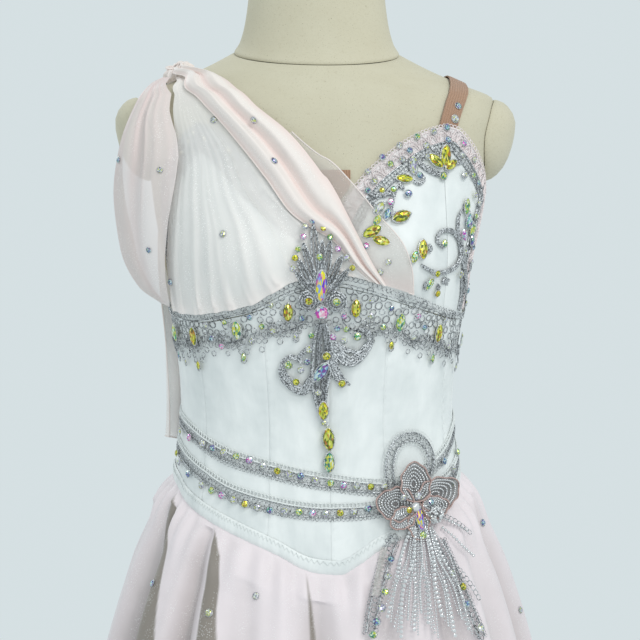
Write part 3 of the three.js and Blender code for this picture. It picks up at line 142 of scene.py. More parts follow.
# Drapes from the knot on: turn and height of both edges, how far off the form, depth of the folds
DRAPE_CUP = table("share turnA heightA turnB heightB out fold", """
    0 -75 1176.5 -66 1180.5 3.6 0.8
    0.07 -58 1170.5 -49 1174 4.4 1.4
    0.14 -48.5 1160 -37 1158 5.2 2
    0.25 -47.5 1140 -28.2 1140 5.2 2.6
    0.4 -49 1112 -18.5 1116 5.2 3.4
    0.55 -54 1086 -11.2 1086 5.2 4
    0.7 -60 1058 -1 1061 5.2 4.4
    0.83 -66 1032 5.6 1040 5.3 4.8
    0.93 -69.5 1012 10 1029.5 5.3 4.8
    1 -71.5 1000 14.4 1022 5 1.2""")
DRAPE_SASH = table("share turnA heightA turnB heightB out fold", """
    0 -89.7 1184.5 -86 1188.5 7 3
    0.07 -60 1176 -56 1181 7 4
    0.14 -47.5 1167.5 -36.5 1172.5 7.3 4.6
    0.22 -37.5 1156 -25.5 1164.5 7.3 5
    0.3 -29.2 1141.5 -17 1150.5 7.2 5.4
    0.43 -21 1119 -7.5 1131 7 5.8
    0.57 -14.5 1097 -2 1110 7 5.8
    0.7 -8 1071 2 1085 7 5.4
    0.82 0.8 1053.5 6.5 1061 7 4.8
    0.92 6.5 1036.5 12.5 1037 7 4
    1 13.4 1024 18 1021.5 6.9 2.2""")
DRAPE_FLAP = table("share turnA heightA turnB heightB out fold", """
    0 -8.5 1128 -6.4 1131 5 0
    0.2 -3.5 1107 0.7 1110 5 0
    0.4 0 1086 5 1095 5 0.2
    0.6 4 1064 13.9 1069 5 0.6
    0.8 8.5 1043 22.6 1048.5 5 0.6
    0.92 13.5 1029 27 1031 5 0.4
    1 16.5 1022 29.5 1014.2 5 0""")
DRAPE_BACK = table("share turnA heightA turnB heightB out fold", """
    0 -90.3 1190.5 -90.3 1184.5 7 3
    0.06 -121 1187 -108 1178 7 3
    0.13 -141 1166 -120 1163 7.5 3
    0.32 -150 1104 -120 1105 8 3.5
    0.48 -148 1050 -109 1050 10 4.5
    0.63 -144 998 -100 1000 12 5
    0.86 -140 921 -97 926 13 6
    1 -137 877 -101 890 13 6""")
# The side fall: its front edge on the form, its outer edge in the air, and how far it turns in behind
DRAPE_SIDE = table("share turn height out x y z backX backY", """
    0 -77 1175 4.5 -121 -10 1178.5 1 3
    0.06 -62 1169.5 5.4 -129 -26 1172 1 3
    0.14 -49.8 1160 6.2 -139 -43 1157 2 3
    0.3 -48.8 1134 6.4 -152 -44 1124 3 4
    0.5 -52.5 1100 7 -158 -32 1086 7 24
    0.7 -59.5 1066 7.2 -154 -24 1046 10 30
    0.88 -67.4 1030 7.6 -140 -22 1016 8 26
    1 -72.8 1003.5 5.4 -123 -20 1003 2 16""")
# The skirt by its drop under the binding, and its folds by turn
SKIRT_FLARE = table("drop out", """
    0 2.2 | 6 8 | 14 15 | 24 20.5 | 38 26 | 68 40
    98 51 | 133 62 | 200 82 | 290 105 | 380 126""")
SKIRT_FOLDS = table("turn depth spread start", """
    -176 27 5 12 | -152 30 5 10 | -130 25 5 16 | -110 30 4.6 10
    -89 24 4.8 20 | -68 32 5 8 | -43 36 3.4 4 | -22 16 4.2 24
    -2.5 34 3.2 18 | 16 24 4 14 | 35 28 4 14 | 55 20 4.4 20
    74 28 4.8 12 | 96 26 5 16 | 117 30 4.8 10 | 138 24 5 18
    160 30 5 12""")
# Skirt panels with the turns of their two edges
SKIRT_PANELS = [
    ("skirt_back_left", -176, -130),
    ("skirt_side_back_left", -130, -89),
    ("skirt_side_left", -89, -43),
    ("skirt_front_left", -43, -2.5),
    ("skirt_front_right", -2.5, 55),
    ("skirt_side_right", 55, 96),
    ("skirt_side_back_right", 96, 138),
    ("skirt_back_right", 138, 184),
]

# How far each layer stands off the form
SATIN = (0.8, 2.8)
TRIM = 3.25
NET = 3.7
SEAM_GAP = 0.3
SKIRT_HEM = 490

# The photograph's camera, and the millimetres of the form's front that one of its pixels covers
VIEW = {"azimuth": -4, "elevation": 4, "distance": 1100, "target": (2.5, 0, 988), "lens": 77.3, "sensor": 36}
PIXELS = 640
PIXEL_SIZE = 0.8
FRONT_REACH = 80

# Edges sharper than this many degrees are drawn hard
SHARP_ANGLE = 50

# The floor is a round disc, just under the base
FLOOR_RADIUS = 1400
FLOOR_DROP = 0.5


def smoothly(rows, at, key, values):
    """Values of one column at places in another, as a smooth line that never passes its neighbours."""
    x = np.array([row[at] for row in rows])
    y = np.array([row[key] for row in rows])
    secant = np.diff(y) / np.diff(x)
    slope = np.concatenate([secant[:1], np.zeros(len(x) - 2), secant[-1:]])
    product = secant[:-1] * secant[1:]
    total = np.where(product > 0, secant[:-1] + secant[1:], 1)
    slope[1:-1] = np.where(product > 0, 2 * product / total, 0)
    v = np.clip(np.asarray(values, float), x[0], x[-1])
    i = np.clip(np.searchsorted(x, v, side="right") - 1, 0, len(x) - 2)
    span = x[i + 1] - x[i]
    t = (v - x[i]) / span
    rise = t * t * (3 - 2 * t)
    bend = t * (1 - t) ** 2 * span * slope[i] - t * t * (1 - t) * span * slope[i + 1]
    return y[i] + (y[i + 1] - y[i]) * rise + bend


def height_on(line, turn):
    return smoothly(line, "turn", "height", turn)


def mix(a, b, share):
    return a + (b - a) * share


def unit(v):
    return v / np.maximum(np.linalg.norm(v, axis=-1, keepdims=True), 1e-9)


def bump(x, middle, width):
    return np.exp(-(((x - middle) / width) ** 2))


def wrap(turn):
    return (turn + 180) % 360 - 180


def round_angles(count):
    return np.linspace(0, 2 * math.pi, count, endpoint=False)


def lengths_along(points):
    return np.concatenate([[0], np.cumsum(np.linalg.norm(np.diff(points, axis=0), axis=1))])


def between(values, at):
    """Rows of a list of points at places that are counted in rows."""
    return np.stack([np.interp(at, np.arange(len(values)), values[:, k]) for k in range(3)], -1)


def waves(u, v, seed, count=5):
    """Uneven soft waves between -1 and 1 over two directions."""
    draw = np.random.RandomState(seed)
    total = 0
    for _ in range(count):
        a, b = draw.uniform(-1, 1, 2)
        total = total + np.sin(a * u + b * v + draw.uniform(0, 6.3))
    return total / count


def at_height(rows, height, *keys):
    return {key: smoothly(rows, "height", key, height) for key in keys}


def form_point(turn, height):
    """Surface of the form: turn in degrees from the middle of the front, height up from the floor."""
    turn, height = np.broadcast_arrays(np.asarray(turn, float), np.asarray(height, float))
    part = at_height(SECTIONS, height, "width", "front", "back", "square", "drop")
    sine, cosine = np.sin(np.radians(turn)), np.cos(np.radians(turn))
    power = 2 / part["square"]
    depth = np.where(cosine > 0, part["front"], part["back"])
    x = part["width"] * np.sign(sine) * np.abs(sine) ** power
    y = -depth * np.sign(cosine) * np.abs(cosine) ** power
    bust = bump(np.abs(x), 58, 40) * bump(height, 1040, 38) * np.clip(3 * cosine, 0, 1)
    return np.stack([x, y - 9 * bust, height - part["drop"] * cosine], -1)


def way_out(turn, height):
    turn, height = np.asarray(turn, float), np.asarray(height, float)
    around = form_point(turn + 0.6, height) - form_point(turn - 0.6, height)
    up = form_point(turn, height + 1.5) - form_point(turn, height - 1.5)
    return unit(np.cross(around, up))


def on_form(turn, height, out):
    return form_point(turn, height) + way_out(turn, height) * np.asarray(out, float)[..., None]


def camera_axes():
    a, e = math.radians(VIEW["azimuth"]), math.radians(VIEW["elevation"])
    back = np.array([math.sin(a) * math.cos(e), -math.cos(a) * math.cos(e), math.sin(e)])
    right = np.array([math.cos(a), math.sin(a), 0])
    return np.array(VIEW["target"]) + back * VIEW["distance"], right, np.cross(back, right), back


EYE, RIGHT, UP, BACK = camera_axes()


# Making of meshes
class Pile:
    """Points and faces gathered into one mesh, with a colour and cloth coordinates at each point."""

    def __init__(self, value=None):
        self.points, self.faces, self.cloth, self.tint, self.count = [], [], [], [], 0
        self.value = value

    def add(self, points, faces, cloth=None, tint=(1, 1, 1)):
        points = np.asarray(points, float).reshape(-1, 3)
        self.points.append(points)
        self.faces += [[int(k) + self.count for k in face] for face in faces]
        cloth = points * MM if cloth is None else np.array(cloth, float).reshape(-1, 3)
        if self.value is not None:
            cloth[:, 2] = self.value
        self.cloth.append(cloth)
        self.tint.append(np.broadcast_to(np.asarray(tint, float), (len(points), 3)))
        self.count += len(points)

    def build(self, name, material, smooth=True):
        mesh = bpy.data.meshes.new(name)
        points = np.concatenate(self.points) * MM
        mesh.from_pydata(points.tolist(), [], self.faces)
        for label, values in (("cloth", self.cloth), ("tint", self.tint)):
            layer = mesh.attributes.new(label, "FLOAT_VECTOR", "POINT")
            layer.data.foreach_set("vector", np.concatenate(values).astype(np.float32).ravel())
        mesh.polygons.foreach_set("use_smooth", [smooth] * len(mesh.polygons))
        if smooth:
            mesh.set_sharp_from_angle(angle=math.radians(SHARP_ANGLE))
        mesh.materials.append(material)
        mesh.update()
        piece = bpy.data.objects.new(name, mesh)
        bpy.context.scene.collection.objects.link(piece)
        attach(piece, "root")
        return piece


def grid_faces(rows, columns, around=False):
    faces = []
    for j in range(rows - 1):
        for i in range(columns if around else columns - 1):
            k = (i + 1) % columns
            faces.append((j * columns + i, j * columns + k, (j + 1) * columns + k, (j + 1) * columns + i))
    return faces


def cloth_of(points, extra):
    """Cloth coordinates of a grid: metres across, metres along, and a value of its own."""
    across = np.zeros(points.shape[:2])
    across[:, 1:] = np.cumsum(np.linalg.norm(np.diff(points, axis=1), axis=-1), axis=1)
    across -= across[:, points.shape[1] // 2][:, None]
    along = np.zeros(points.shape[:2])
    along[1:] = np.cumsum(np.linalg.norm(np.diff(points, axis=0), axis=-1), axis=0)
    return np.stack([across * MM, along * MM, np.broadcast_to(extra, points.shape[:2])], -1)


covers = {}


def keep_cover(name, points, faces):
    covers[name] = BVHTree.FromPolygons(points.reshape(-1, 3).tolist(), faces)


def open_cloth(name, points, material, extra=0.0, around=False):
    """One layer of cloth over a grid of points."""
    pile = Pile()
    faces = grid_faces(points.shape[0], points.shape[1], around)
    pile.add(points, faces, cloth_of(points, extra))
    keep_cover(name, points, faces)
    return pile.build(name, material)


def walled_cloth(name, outer, inner, material, extra):
    """Cloth with a real thickness: an outer and an inner grid, closed round the edge."""
    rows, columns = outer.shape[:2]
    half = rows * columns
    faces = grid_faces(rows, columns)
    keep_cover(name, outer, faces)
    back = [tuple(k + half for k in reversed(face)) for face in faces]
    edge = [(0, i) for i in range(columns)] + [(j, columns - 1) for j in range(1, rows)]
    edge += [(rows - 1, i) for i in range(columns - 2, -1, -1)] + [(j, 0) for j in range(rows - 2, 0, -1)]
    rim = [j * columns + i for j, i in edge]
    sides = [(b, a, a + half, b + half) for a, b in zip(rim, rim[1:] + rim[:1])]
    cloth = cloth_of(outer, extra)
    pile = Pile()
    pile.add(np.concatenate([outer.reshape(-1, 3), inner.reshape(-1, 3)]), faces + back + sides,
             np.concatenate([cloth.reshape(-1, 3)] * 2))
    return pile.build(name, material)


def lofted(pile, rings, first, last):
    """Closed body through rings of points, ending in a point at each end."""
    rows, columns = rings.shape[:2]
    faces = grid_faces(rows, columns, True)
    end = rows * columns
    faces += [(end, (i + 1) % columns, i) for i in range(columns)]
    faces += [(end + 1, end - columns + i, end - columns + (i + 1) % columns) for i in range(columns)]
    pile.add(np.concatenate([rings.reshape(-1, 3), [first], [last]]), faces)


def frames_of(normals, ways):
    """Turned axes at each place: across, along its way, and out."""
    out = unit(np.asarray(normals, float))
    along = unit(ways - out * np.sum(out * ways, -1, keepdims=True))
    return np.stack([np.cross(along, out), along, out], -1)


def stamp(pile, shape, places, frames, sizes):
    """The same small shape set down at many places."""
    points, faces = shape
    places = np.asarray(places, float).reshape(-1, 3)
    frames = np.asarray(frames, float).reshape(-1, 3, 3)
    sizes = np.broadcast_to(np.asarray(sizes, float), (len(places), 3))
    for place, axes, size in zip(places, frames, sizes):
        pile.add((points * size) @ axes.T + place, faces)


def cord(pile, points, radius, normals, sides, flat=1.0, loop=False):
    """Round or flattened cord along a line of points."""
    points = np.asarray(points, float)
    ahead = np.roll(points, -1, 0) - np.roll(points, 1, 0)
    if not loop:
        ahead[0], ahead[-1] = points[1] - points[0], points[-1] - points[-2]
    axes = frames_of(normals, unit(ahead))
    angles = np.arange(sides) * 2 * math.pi / sides
    radius = np.broadcast_to(np.asarray(radius, float), (len(points),))
    ring = (np.cos(angles)[None, :, None] * axes[:, None, :, 0]
            + flat * np.sin(angles)[None, :, None] * axes[:, None, :, 2]) * radius[:, None, None]
    rings = points[:, None, :] + ring
    if loop:
        rings = np.concatenate([rings, rings[:1]])
        pile.add(rings, grid_faces(len(rings), sides, True))
    else:
        lofted(pile, rings, points[0], points[-1])


def curve(points, step):
    """Smooth line through points, in even steps."""
    points = np.asarray(points, float)
    chord = lengths_along(points)
    slopes = np.gradient(points, chord, axis=0)
    fine = np.linspace(0, chord[-1], max(int(chord[-1] / step * 4), 8))
    i = np.clip(np.searchsorted(chord, fine, side="right") - 1, 0, len(chord) - 2)
    span = (chord[i + 1] - chord[i])[:, None]
    t = ((fine - chord[i]) / span[:, 0])[:, None]
    line = ((2 * t ** 3 - 3 * t ** 2 + 1) * points[i] + (t ** 3 - 2 * t ** 2 + t) * span * slopes[i]
            + (3 * t ** 2 - 2 * t ** 3) * points[i + 1] + (t ** 3 - t ** 2) * span * slopes[i + 1])
    length = lengths_along(line)
    even = np.linspace(0, length[-1], max(int(round(length[-1] / step)), 2) + 1)
    return np.stack([np.interp(even, length, line[:, k]) for k in range(points.shape[1])], -1)


def spot(x, y, over):
    """Point and way out where the photograph's pixel meets the first of the named covers."""
    way = (-BACK * VIEW["lens"] + RIGHT * ((x - PIXELS / 2) / PIXELS * VIEW["sensor"])
           + UP * ((PIXELS / 2 - y) / PIXELS * VIEW["sensor"]))
    way = Vector(way / np.linalg.norm(way))
    best = None
    for name in over:
        place, normal, _, distance = covers[name].ray_cast(Vector(EYE), way)
        if place is not None and (best is None or distance < best[2]):
            best = (np.array(place), np.array(normal) * (-1 if normal.dot(way) > 0 else 1), distance)
    if best is None:
        near = Vector(EYE) + way * (VIEW["distance"] - FRONT_REACH)
        hits = [covers[name].find_nearest(near) for name in over]
        place, normal, _, _ = min(hits, key=lambda hit: hit[3])
        return np.array(place), np.array(normal)
    return best[0], best[1]


def spots(pixels, over, lift):
    found = [spot(x, y, over) for x, y in pixels]
    places, normals = np.array([f[0] for f in found]), np.array([f[1] for f in found])
    normals = unit(normals)
    return places + normals * lift, normals


def drawn(pixels, over, lift, step=0.6):
    """Line over the covers along a route of pixels."""
    route = curve(pixels, step / PIXEL_SIZE)
    places, normals = spots(route, over, lift)
    if len(normals) > 6:
        wide = np.ones(5) / 5
        for k in range(3):
            normals[:, k] = np.convolve(np.pad(normals[:, k], 2, mode="edge"), wide, "valid")
            places[:, k] = np.convolve(np.pad(places[:, k], 2, mode="edge"), wide, "valid")
    return places, unit(normals)


def ahead_of(points):
    return unit(np.gradient(np.asarray(points, float), axis=0))


# Small shapes
def ring_shape(thick, steps=9, sides=3):
    """Ring of radius 1, as thick as that share of it."""
    points, faces = [], []
    for i in range(steps):
        a = i * 2 * math.pi / steps
        for k in range(sides):
            b = k * 2 * math.pi / sides
            r = 1 + thick * math.cos(b)
            points.append((r * math.cos(a), r * math.sin(a), thick * math.sin(b)))
            n, m = (i + 1) % steps, (k + 1) % sides
            faces.append((i * sides + k, n * sides + k, n * sides + m, i * sides + m))
    return np.array(points), faces


def bead_shape(rings=4, sides=6):
    points, faces = [(0, 0, -1)], []
    for j in range(1, rings):
        b = math.pi * j / rings
        for i in range(sides):
            a = 2 * math.pi * i / sides
            points.append((math.sin(b) * math.cos(a), math.sin(b) * math.sin(a), -math.cos(b)))
    points.append((0, 0, 1))
    for i in range(sides):
        n = (i + 1) % sides
        faces.append((0, 1 + n, 1 + i))
        for j in range(rings - 2):
            low, high = 1 + j * sides, 1 + (j + 1) * sides
            faces.append((low + i, low + n, high + n, high + i))
        last = 1 + (rings - 2) * sides
        faces.append((last + i, last + n, len(points) - 1))
    return np.array(points, float), faces


def gem_shape(sides, pointed):
    """Cut stone of half width 1 and half length 1: girdle, crown facets and table."""
    def outline(share, height, turn):
        rows = []
        for k in range(sides):
            a = 2 * math.pi * (k + turn) / sides + math.pi / 2
            wide = abs(math.cos(a)) ** (1.25 if pointed else 1.0)
            rows.append((share * math.copysign(wide, math.cos(a)), share * math.sin(a), height))
        return rows
    levels = [(0.96, 0.0, 0), (1.0, 0.22, 0), (0.82, 0.44, 0.5), (0.52, 0.62, 0)]
    points = [p for level in levels for p in outline(*level)] + [(0, 0, 0.64), (0, 0, 0.0)]
    faces = []
    girdle, crown, rim, tip = sides, 2 * sides, 3 * sides, 4 * sides
    for i in range(sides):
        n = (i + 1) % sides
        faces.append((i, n, girdle + n, girdle + i))
        faces += [(girdle + i, girdle + n, crown + i), (girdle + n, crown + n, crown + i)]
        faces += [(crown + i, rim + n, rim + i), (crown + i, crown + n, rim + n)]
        faces += [(rim + i, rim + n, tip), (n, i, tip + 1)]
    return np.array(points, float), faces


RING = ring_shape(0.19)
FINE_RING = ring_shape(0.16, 12, 4)
THICK_RING = ring_shape(0.26, 10, 4)
BEAD = bead_shape()
ROUND_GEM = gem_shape(8, False)
LONG_GEM = gem_shape(10, True)

# Painted reflections and shade: the light and dark colours that the facets of each kind of stone are given
FACET_LIGHT_AND_SHADE = {
    "sun": [(0.80, 0.70, 0.01), (0.42, 0.46, 0.02), (0.14, 0.19, 0.02), (0.88, 0.84, 0.22),
            (0.50, 0.20, 0.03), (0.60, 0.66, 0.10), (0.10, 0.12, 0.03)],
    "sea": [(0.08, 0.14, 0.42), (0.22, 0.42, 0.60), (0.60, 0.74, 0.78), (0.22, 0.08, 0.34),
            (0.66, 0.82, 0.70), (0.18, 0.42, 0.26), (0.06, 0.08, 0.12)],
    "rose": [(0.74, 0.08, 0.42), (0.86, 0.46, 0.60), (0.38, 0.07, 0.48), (0.90, 0.82, 0.86),
             (0.34, 0.70, 0.68)],
    "leaf": [(0.10, 0.42, 0.22), (0.46, 0.58, 0.08), (0.72, 0.68, 0.10), (0.05, 0.16, 0.16),
             (0.78, 0.84, 0.70)],
    "opal": [(0.72, 0.76, 0.78), (0.46, 0.52, 0.46), (0.62, 0.64, 0.16), (0.42, 0.36, 0.58),
             (0.86, 0.86, 0.80), (0.20, 0.23, 0.24)],
    "flame": [(0.88, 0.82, 0.02), (0.90, 0.60, 0.20), (0.16, 0.06, 0.62), (0.55, 0.05, 0.50),
              (0.30, 0.42, 0.80)],
}


def gem(pile, setting, place, normal, way, width, length, kind):
    """Cut stone in a small metal setting; its facets are painted light and dark, as painted reflections and
    shade.
    """
    shape = ROUND_GEM if abs(width - length) < 0.5 else LONG_GEM
    axes = frames_of(normal[None], np.asarray(way, float)[None])[0]
    points, faces = shape
    size = np.array([width / 2, length / 2, min(width, length) * 0.5])
    spread = (points * size) @ axes.T + place
    colours = FACET_LIGHT_AND_SHADE[kind]
    for face in faces:
        corners = spread[list(face)]
        pile.add(corners, [tuple(range(len(face)))], tint=colours[dice.randrange(len(colours))])
    rim = ring_shape(0.09, 12 if shape is ROUND_GEM else 14)
    if shape is LONG_GEM:
        rim[0][:, 0] *= np.abs(np.cos(np.arctan2(rim[0][:, 1], rim[0][:, 0]))) ** 0.25
    size = np.array([width / 2 + 0.25, length / 2 + 0.25, min(width, length) * 0.6])
    setting.add((rim[0] * size) @ axes.T + place + normal * 0.25, rim[1])


# Finishes
ACROSS, ALONG, OWN_VALUE = 0, 1, 2


class Wire:
    """A socket's value that plain arithmetic can be written with."""

    def __init__(self, paint, socket):
        self.paint, self.socket = paint, socket

    def sum_of(self, kind, a, b):
        return self.paint.node("ShaderNodeMath", {"operation": kind}, {0: a, 1: b})

    def __add__(self, other):
        return self.sum_of("ADD", self, other)

    def __sub__(self, other):
        return self.sum_of("SUBTRACT", self, other)

    def __mul__(self, other):
        return self.sum_of("MULTIPLY", self, other)

    def __rsub__(self, other):
        return self.sum_of("SUBTRACT", other, self)

    __radd__ = __add__
    __rmul__ = __mul__


class Paint:
    """One material: its nodes are made by node(), and its shader's sockets set by give()."""

    def __init__(self, name, **uniform):
        self.material = bpy.data.materials.new(name)
        self.material.use_nodes = True
        self.tree = self.material.node_tree
        self.shader = next(n for n in self.tree.nodes if n.type == "BSDF_PRINCIPLED")
        for socket, value in uniform.items():
            self.shader.inputs[socket.replace("_", " ")].default_value = value

    def node(self, kind, settings=None, inputs=None, out=0):
        made = self.tree.nodes.new(kind)
        for key, value in (settings or {}).items():
            setattr(made, key, value)
        for key, value in (inputs or {}).items():
            if isinstance(value, Wire):
                self.tree.links.new(value.socket, made.inputs[key])
            else:
                made.inputs[key].default_value = value
        return Wire(self, made.outputs[out])

    def give(self, socket, value):
        self.tree.links.new(value.socket, self.shader.inputs[socket])

    def attribute(self, name, out):
        return self.node("ShaderNodeAttribute", {"attribute_name": name}, out=out)

    def cloth(self, flat=True):
        """Place on the cloth; flat leaves out the piece's own value, so no pattern follows it."""
        kept = (1, 1, 0) if flat else (1, 1, 1)
        return self.node("ShaderNodeVectorMath", {"operation": "MULTIPLY"},
                         {0: self.attribute("cloth", "Vector"), 1: kept})

    def cloth_part(self, part):
        """One number of the cloth: metres across, metres along, or the piece's own value."""
        return self.node("ShaderNodeSeparateXYZ", None, {0: self.attribute("cloth", "Vector")}, part)

    def noise(self, vector, scale, detail, rough=0.5):
        return self.node("ShaderNodeTexNoise", None,
                         {"Vector": vector, "Scale": scale, "Detail": detail, "Roughness": rough}, "Fac")

    def stretched(self, vector, share):
        """The same place with its length along the cloth drawn out."""
        return self.node("ShaderNodeVectorMath", {"operation": "MULTIPLY"}, {0: vector, 1: (1, share, 1)})

    def cells(self, vector, scale, feature):
        return self.node("ShaderNodeTexVoronoi", {"feature": feature},
                         {"Vector": vector, "Scale": scale}, "Distance")

    def step(self, value, low, high):
        return self.node("ShaderNodeMapRange", None, {"Value": value, "From Min": low, "From Max": high})

    def blend(self, a, b, share):
        return self.node("ShaderNodeMix", {"data_type": "RGBA"}, {0: share, 6: a, 7: b}, 2)

    def wave(self, value, pitch):
        """Sine between -1 and 1 with the pitch in metres."""
        return self.node("ShaderNodeMath", {"operation": "SINE"}, {0: value * (2 * math.pi / pitch)})

    def relief(self, height, depth, strength):
        settings = {"Height": height, "Distance": depth, "Strength": strength}
        self.give("Normal", self.node("ShaderNodeBump", None, settings, "Normal"))


def colour(*rgb):
    return (*rgb, 1.0)


def linen_paint():
    paint = Paint("Linen", Roughness=0.92, Sheen_Weight=0.15, Specular_IOR_Level=0.2)
    place = paint.cloth()
    warp = paint.noise(paint.stretched(place, 0.3), 900, 1)
    weave = warp + paint.noise(paint.stretched(place, 3.0), 500, 1)
    mottle = paint.noise(place, 25, 3)
    fleck = paint.step(paint.noise(place, 1050, 2, 0.6), 0.655, 0.72)
    slub = paint.step(paint.noise(place, 330, 1), 0.60, 0.78)
    base = paint.blend(colour(0.545, 0.500, 0.372), colour(0.625, 0.585, 0.455), mottle)
    base = paint.blend(base, colour(0.47, 0.42, 0.30), slub * 0.35)
    paint.give("Base Color", paint.blend(base, colour(0.16, 0.13, 0.08), fleck * 0.75))
    paint.relief(weave * 0.5 + paint.noise(place, 800, 2), 0.00025, 0.6)
    return paint.material


def satin_paint():
    paint = Paint("White_satin", Sheen_Weight=0.25, Sheen_Roughness=0.4, Specular_IOR_Level=0.5)
    place, edge = paint.cloth(), paint.cloth_part(OWN_VALUE)
    cloud = paint.noise(place, 28, 3)
    thread = paint.noise(place, 900, 2)
    streak = paint.noise(paint.stretched(place, 0.35), 45, 3)
    light = paint.step(cloud + streak, 0.75, 1.15)
    base = paint.blend(colour(0.71, 0.74, 0.735), colour(0.84, 0.86, 0.85), light)
    # Painted shade along the seams: the piece's own value darkens the satin towards each seam
    paint.give("Base Color", paint.blend(base, colour(0.52, 0.55, 0.54), edge * 0.04))
    paint.give("Roughness", 0.36 + cloud * 0.16)
    paint.relief(thread * 0.12 + streak * 5.0 + cloud * 3.0, 0.0005, 0.6)
    return paint.material


def organza_paint(name, base, fold_layers_and_shade, clear, glitter, density):
    """Sheer cloth: clear is its least cover, density how much its folds add; the value marks folds, which
    take the fold colour: layers of cloth, and painted shade in troughs and gaps.
    """
    paint = Paint(name, Roughness=0.5, Sheen_Weight=0.3, Sheen_Roughness=0.35, Specular_IOR_Level=0.45)
    place, fold = paint.cloth(), paint.cloth_part(OWN_VALUE)
    weave = paint.noise(place, 1400, 1)
    cloud = paint.noise(place, 45, 3)
    # Fold colour by the piece's value: deeper where cloth lies in layers, painted shade in troughs and gaps
    body = paint.blend(colour(*base), colour(*fold_layers_and_shade), paint.step(fold + cloud * 0.2, 0.1, 1.1))
    sparkle = paint.step(paint.cells(place, 850, "F1"), 0.26, 0.14)
    lit = sparkle * paint.step(paint.noise(paint.stretched(place, 0.25), 90, 2), 0.46, 0.60)
    paint.give("Base Color", paint.blend(body, colour(1.0, 0.985, 0.97), lit * glitter))
    paint.give("Roughness", 0.52 - lit * 0.3)
    if clear < 1:
        cover = clear + fold * density + cloud * 0.10 + lit * 0.4
        paint.give("Alpha", paint.step(cover, 0.0, 1.0))
    paint.relief(weave * 0.4 + cloud * 2 + lit * 2, 0.0002, 0.5)
    return paint.material


def thread_paint(name, dark, light, metallic, roughness, fine=1600):
    paint = Paint(name, Metallic=metallic, Sheen_Weight=0.1)
    place = paint.cloth(False)
    tint = paint.attribute("tint", "Color")
    grain_and_highlights = paint.noise(place, fine, 2, 0.6)
    # Dark to light along the grain: thread texture, with painted shade and highlights of the twisted thread
    shade = paint.blend(colour(*dark), colour(*light), paint.step(grain_and_highlights, 0.40, 0.58))
    paint.give("Base Color", paint.node("ShaderNodeMix", {"data_type": "RGBA", "blend_type": "MULTIPLY"},
                                        {0: 1.0, 6: shade, 7: tint}, 2))
    paint.give("Roughness", roughness + grain_and_highlights * 0.2)
    paint.relief(grain_and_highlights, 0.0006, 0.9)
    return paint.material


def gem_paint():
    paint = Paint("Cut_stone", Metallic=0.55, Roughness=0.10, Coat_Weight=0.35, Coat_Roughness=0.03)
    place = paint.cloth(False)
    tint = paint.attribute("tint", "Color")
    # Painted glints: near-white patches mixed into the stones' colours
    painted_glint = paint.step(paint.noise(place, 700, 1), 0.55, 0.7)
    paint.give("Base Color", paint.blend(tint, colour(0.95, 0.95, 0.90), painted_glint * 0.12))
    return paint.material


def elastic_paint():
    paint = Paint("Nude_elastic", Roughness=0.8, Sheen_Weight=0.2)
    place = paint.cloth()
    rib = paint.wave(paint.cloth_part(ACROSS), 0.0019)
    # Painted shade and light: darker in the grooves between ribs, lighter on their crests
    base = paint.blend(colour(0.36, 0.20, 0.12), colour(0.52, 0.31, 0.20), paint.step(rib, -1.0, 1.0))
    paint.give("Base Color", paint.blend(base, colour(0.44, 0.26, 0.17), paint.noise(place, 500, 2)))
    paint.relief(rib + paint.wave(paint.cloth_part(ALONG), 0.0008) * 0.2, 0.0004, 0.8)
    return paint.material


def mesh_paint(name, shade, cover):
    """Net: see-through between its threads."""
    paint = Paint(name, Roughness=0.6, Metallic=0.0)
    place = paint.cloth()
    hole = paint.cells(place, 620, "DISTANCE_TO_EDGE")
    paint.give("Base Color", paint.blend(colour(*shade), colour(*(min(1, c * 1.25) for c in shade)),
                                         paint.noise(place, 300, 2)))
    paint.give("Alpha", paint.step(cover + paint.step(hole, 0.10, 0.04) * cover, 0.0, 1.0))
    return paint.material


def steel_paint():
    paint = Paint("Brushed_steel", Metallic=0.9, Anisotropic=0.3)
    place = paint.cloth()
    brush = paint.noise(place, 160, 4, 0.7)
    paint.give("Base Color", paint.blend(colour(0.42, 0.43, 0.44), colour(0.58, 0.59, 0.60), brush))
    paint.give("Roughness", 0.24 + brush * 0.2)
    return paint.material


def floor_paint():
    paint = Paint("Pale_floor", Roughness=0.7)
    place = paint.node("ShaderNodeTexCoord", None, None, "Object")
    mottle = paint.noise(place, 3, 3)
    paint.give("Base Color", paint.blend(colour(0.72, 0.74, 0.75), colour(0.78, 0.80, 0.81), mottle))
    return paint.material


LINEN = linen_paint()
SATIN_CLOTH = satin_paint()
SHEER = organza_paint("Blush_organza_sheer", (1.0, 0.965, 0.935), (0.95, 0.84, 0.80), 0.58, 0.9, 0.40)
THIN = organza_paint("Blush_organza_thin", (0.74, 0.70, 0.655), (0.84, 0.70, 0.66), 0.34, 0.6, 0.30)
ROLLED = organza_paint("Blush_organza_folded", (0.91, 0.84, 0.80), (0.80, 0.66, 0.62), 0.80, 0.9, 0.25)
# The skirt's dark fold colour is painted shade in its folds and gaps
SKIRT_CLOTH = organza_paint("Blush_organza_skirt", (0.81, 0.725, 0.745), (0.27, 0.235, 0.205), 1.0, 1.0, 0.0)
SIDE = organza_paint("Blush_organza_side", (0.84, 0.765, 0.745), (0.70, 0.56, 0.54), 0.64, 0.85, 0.35)
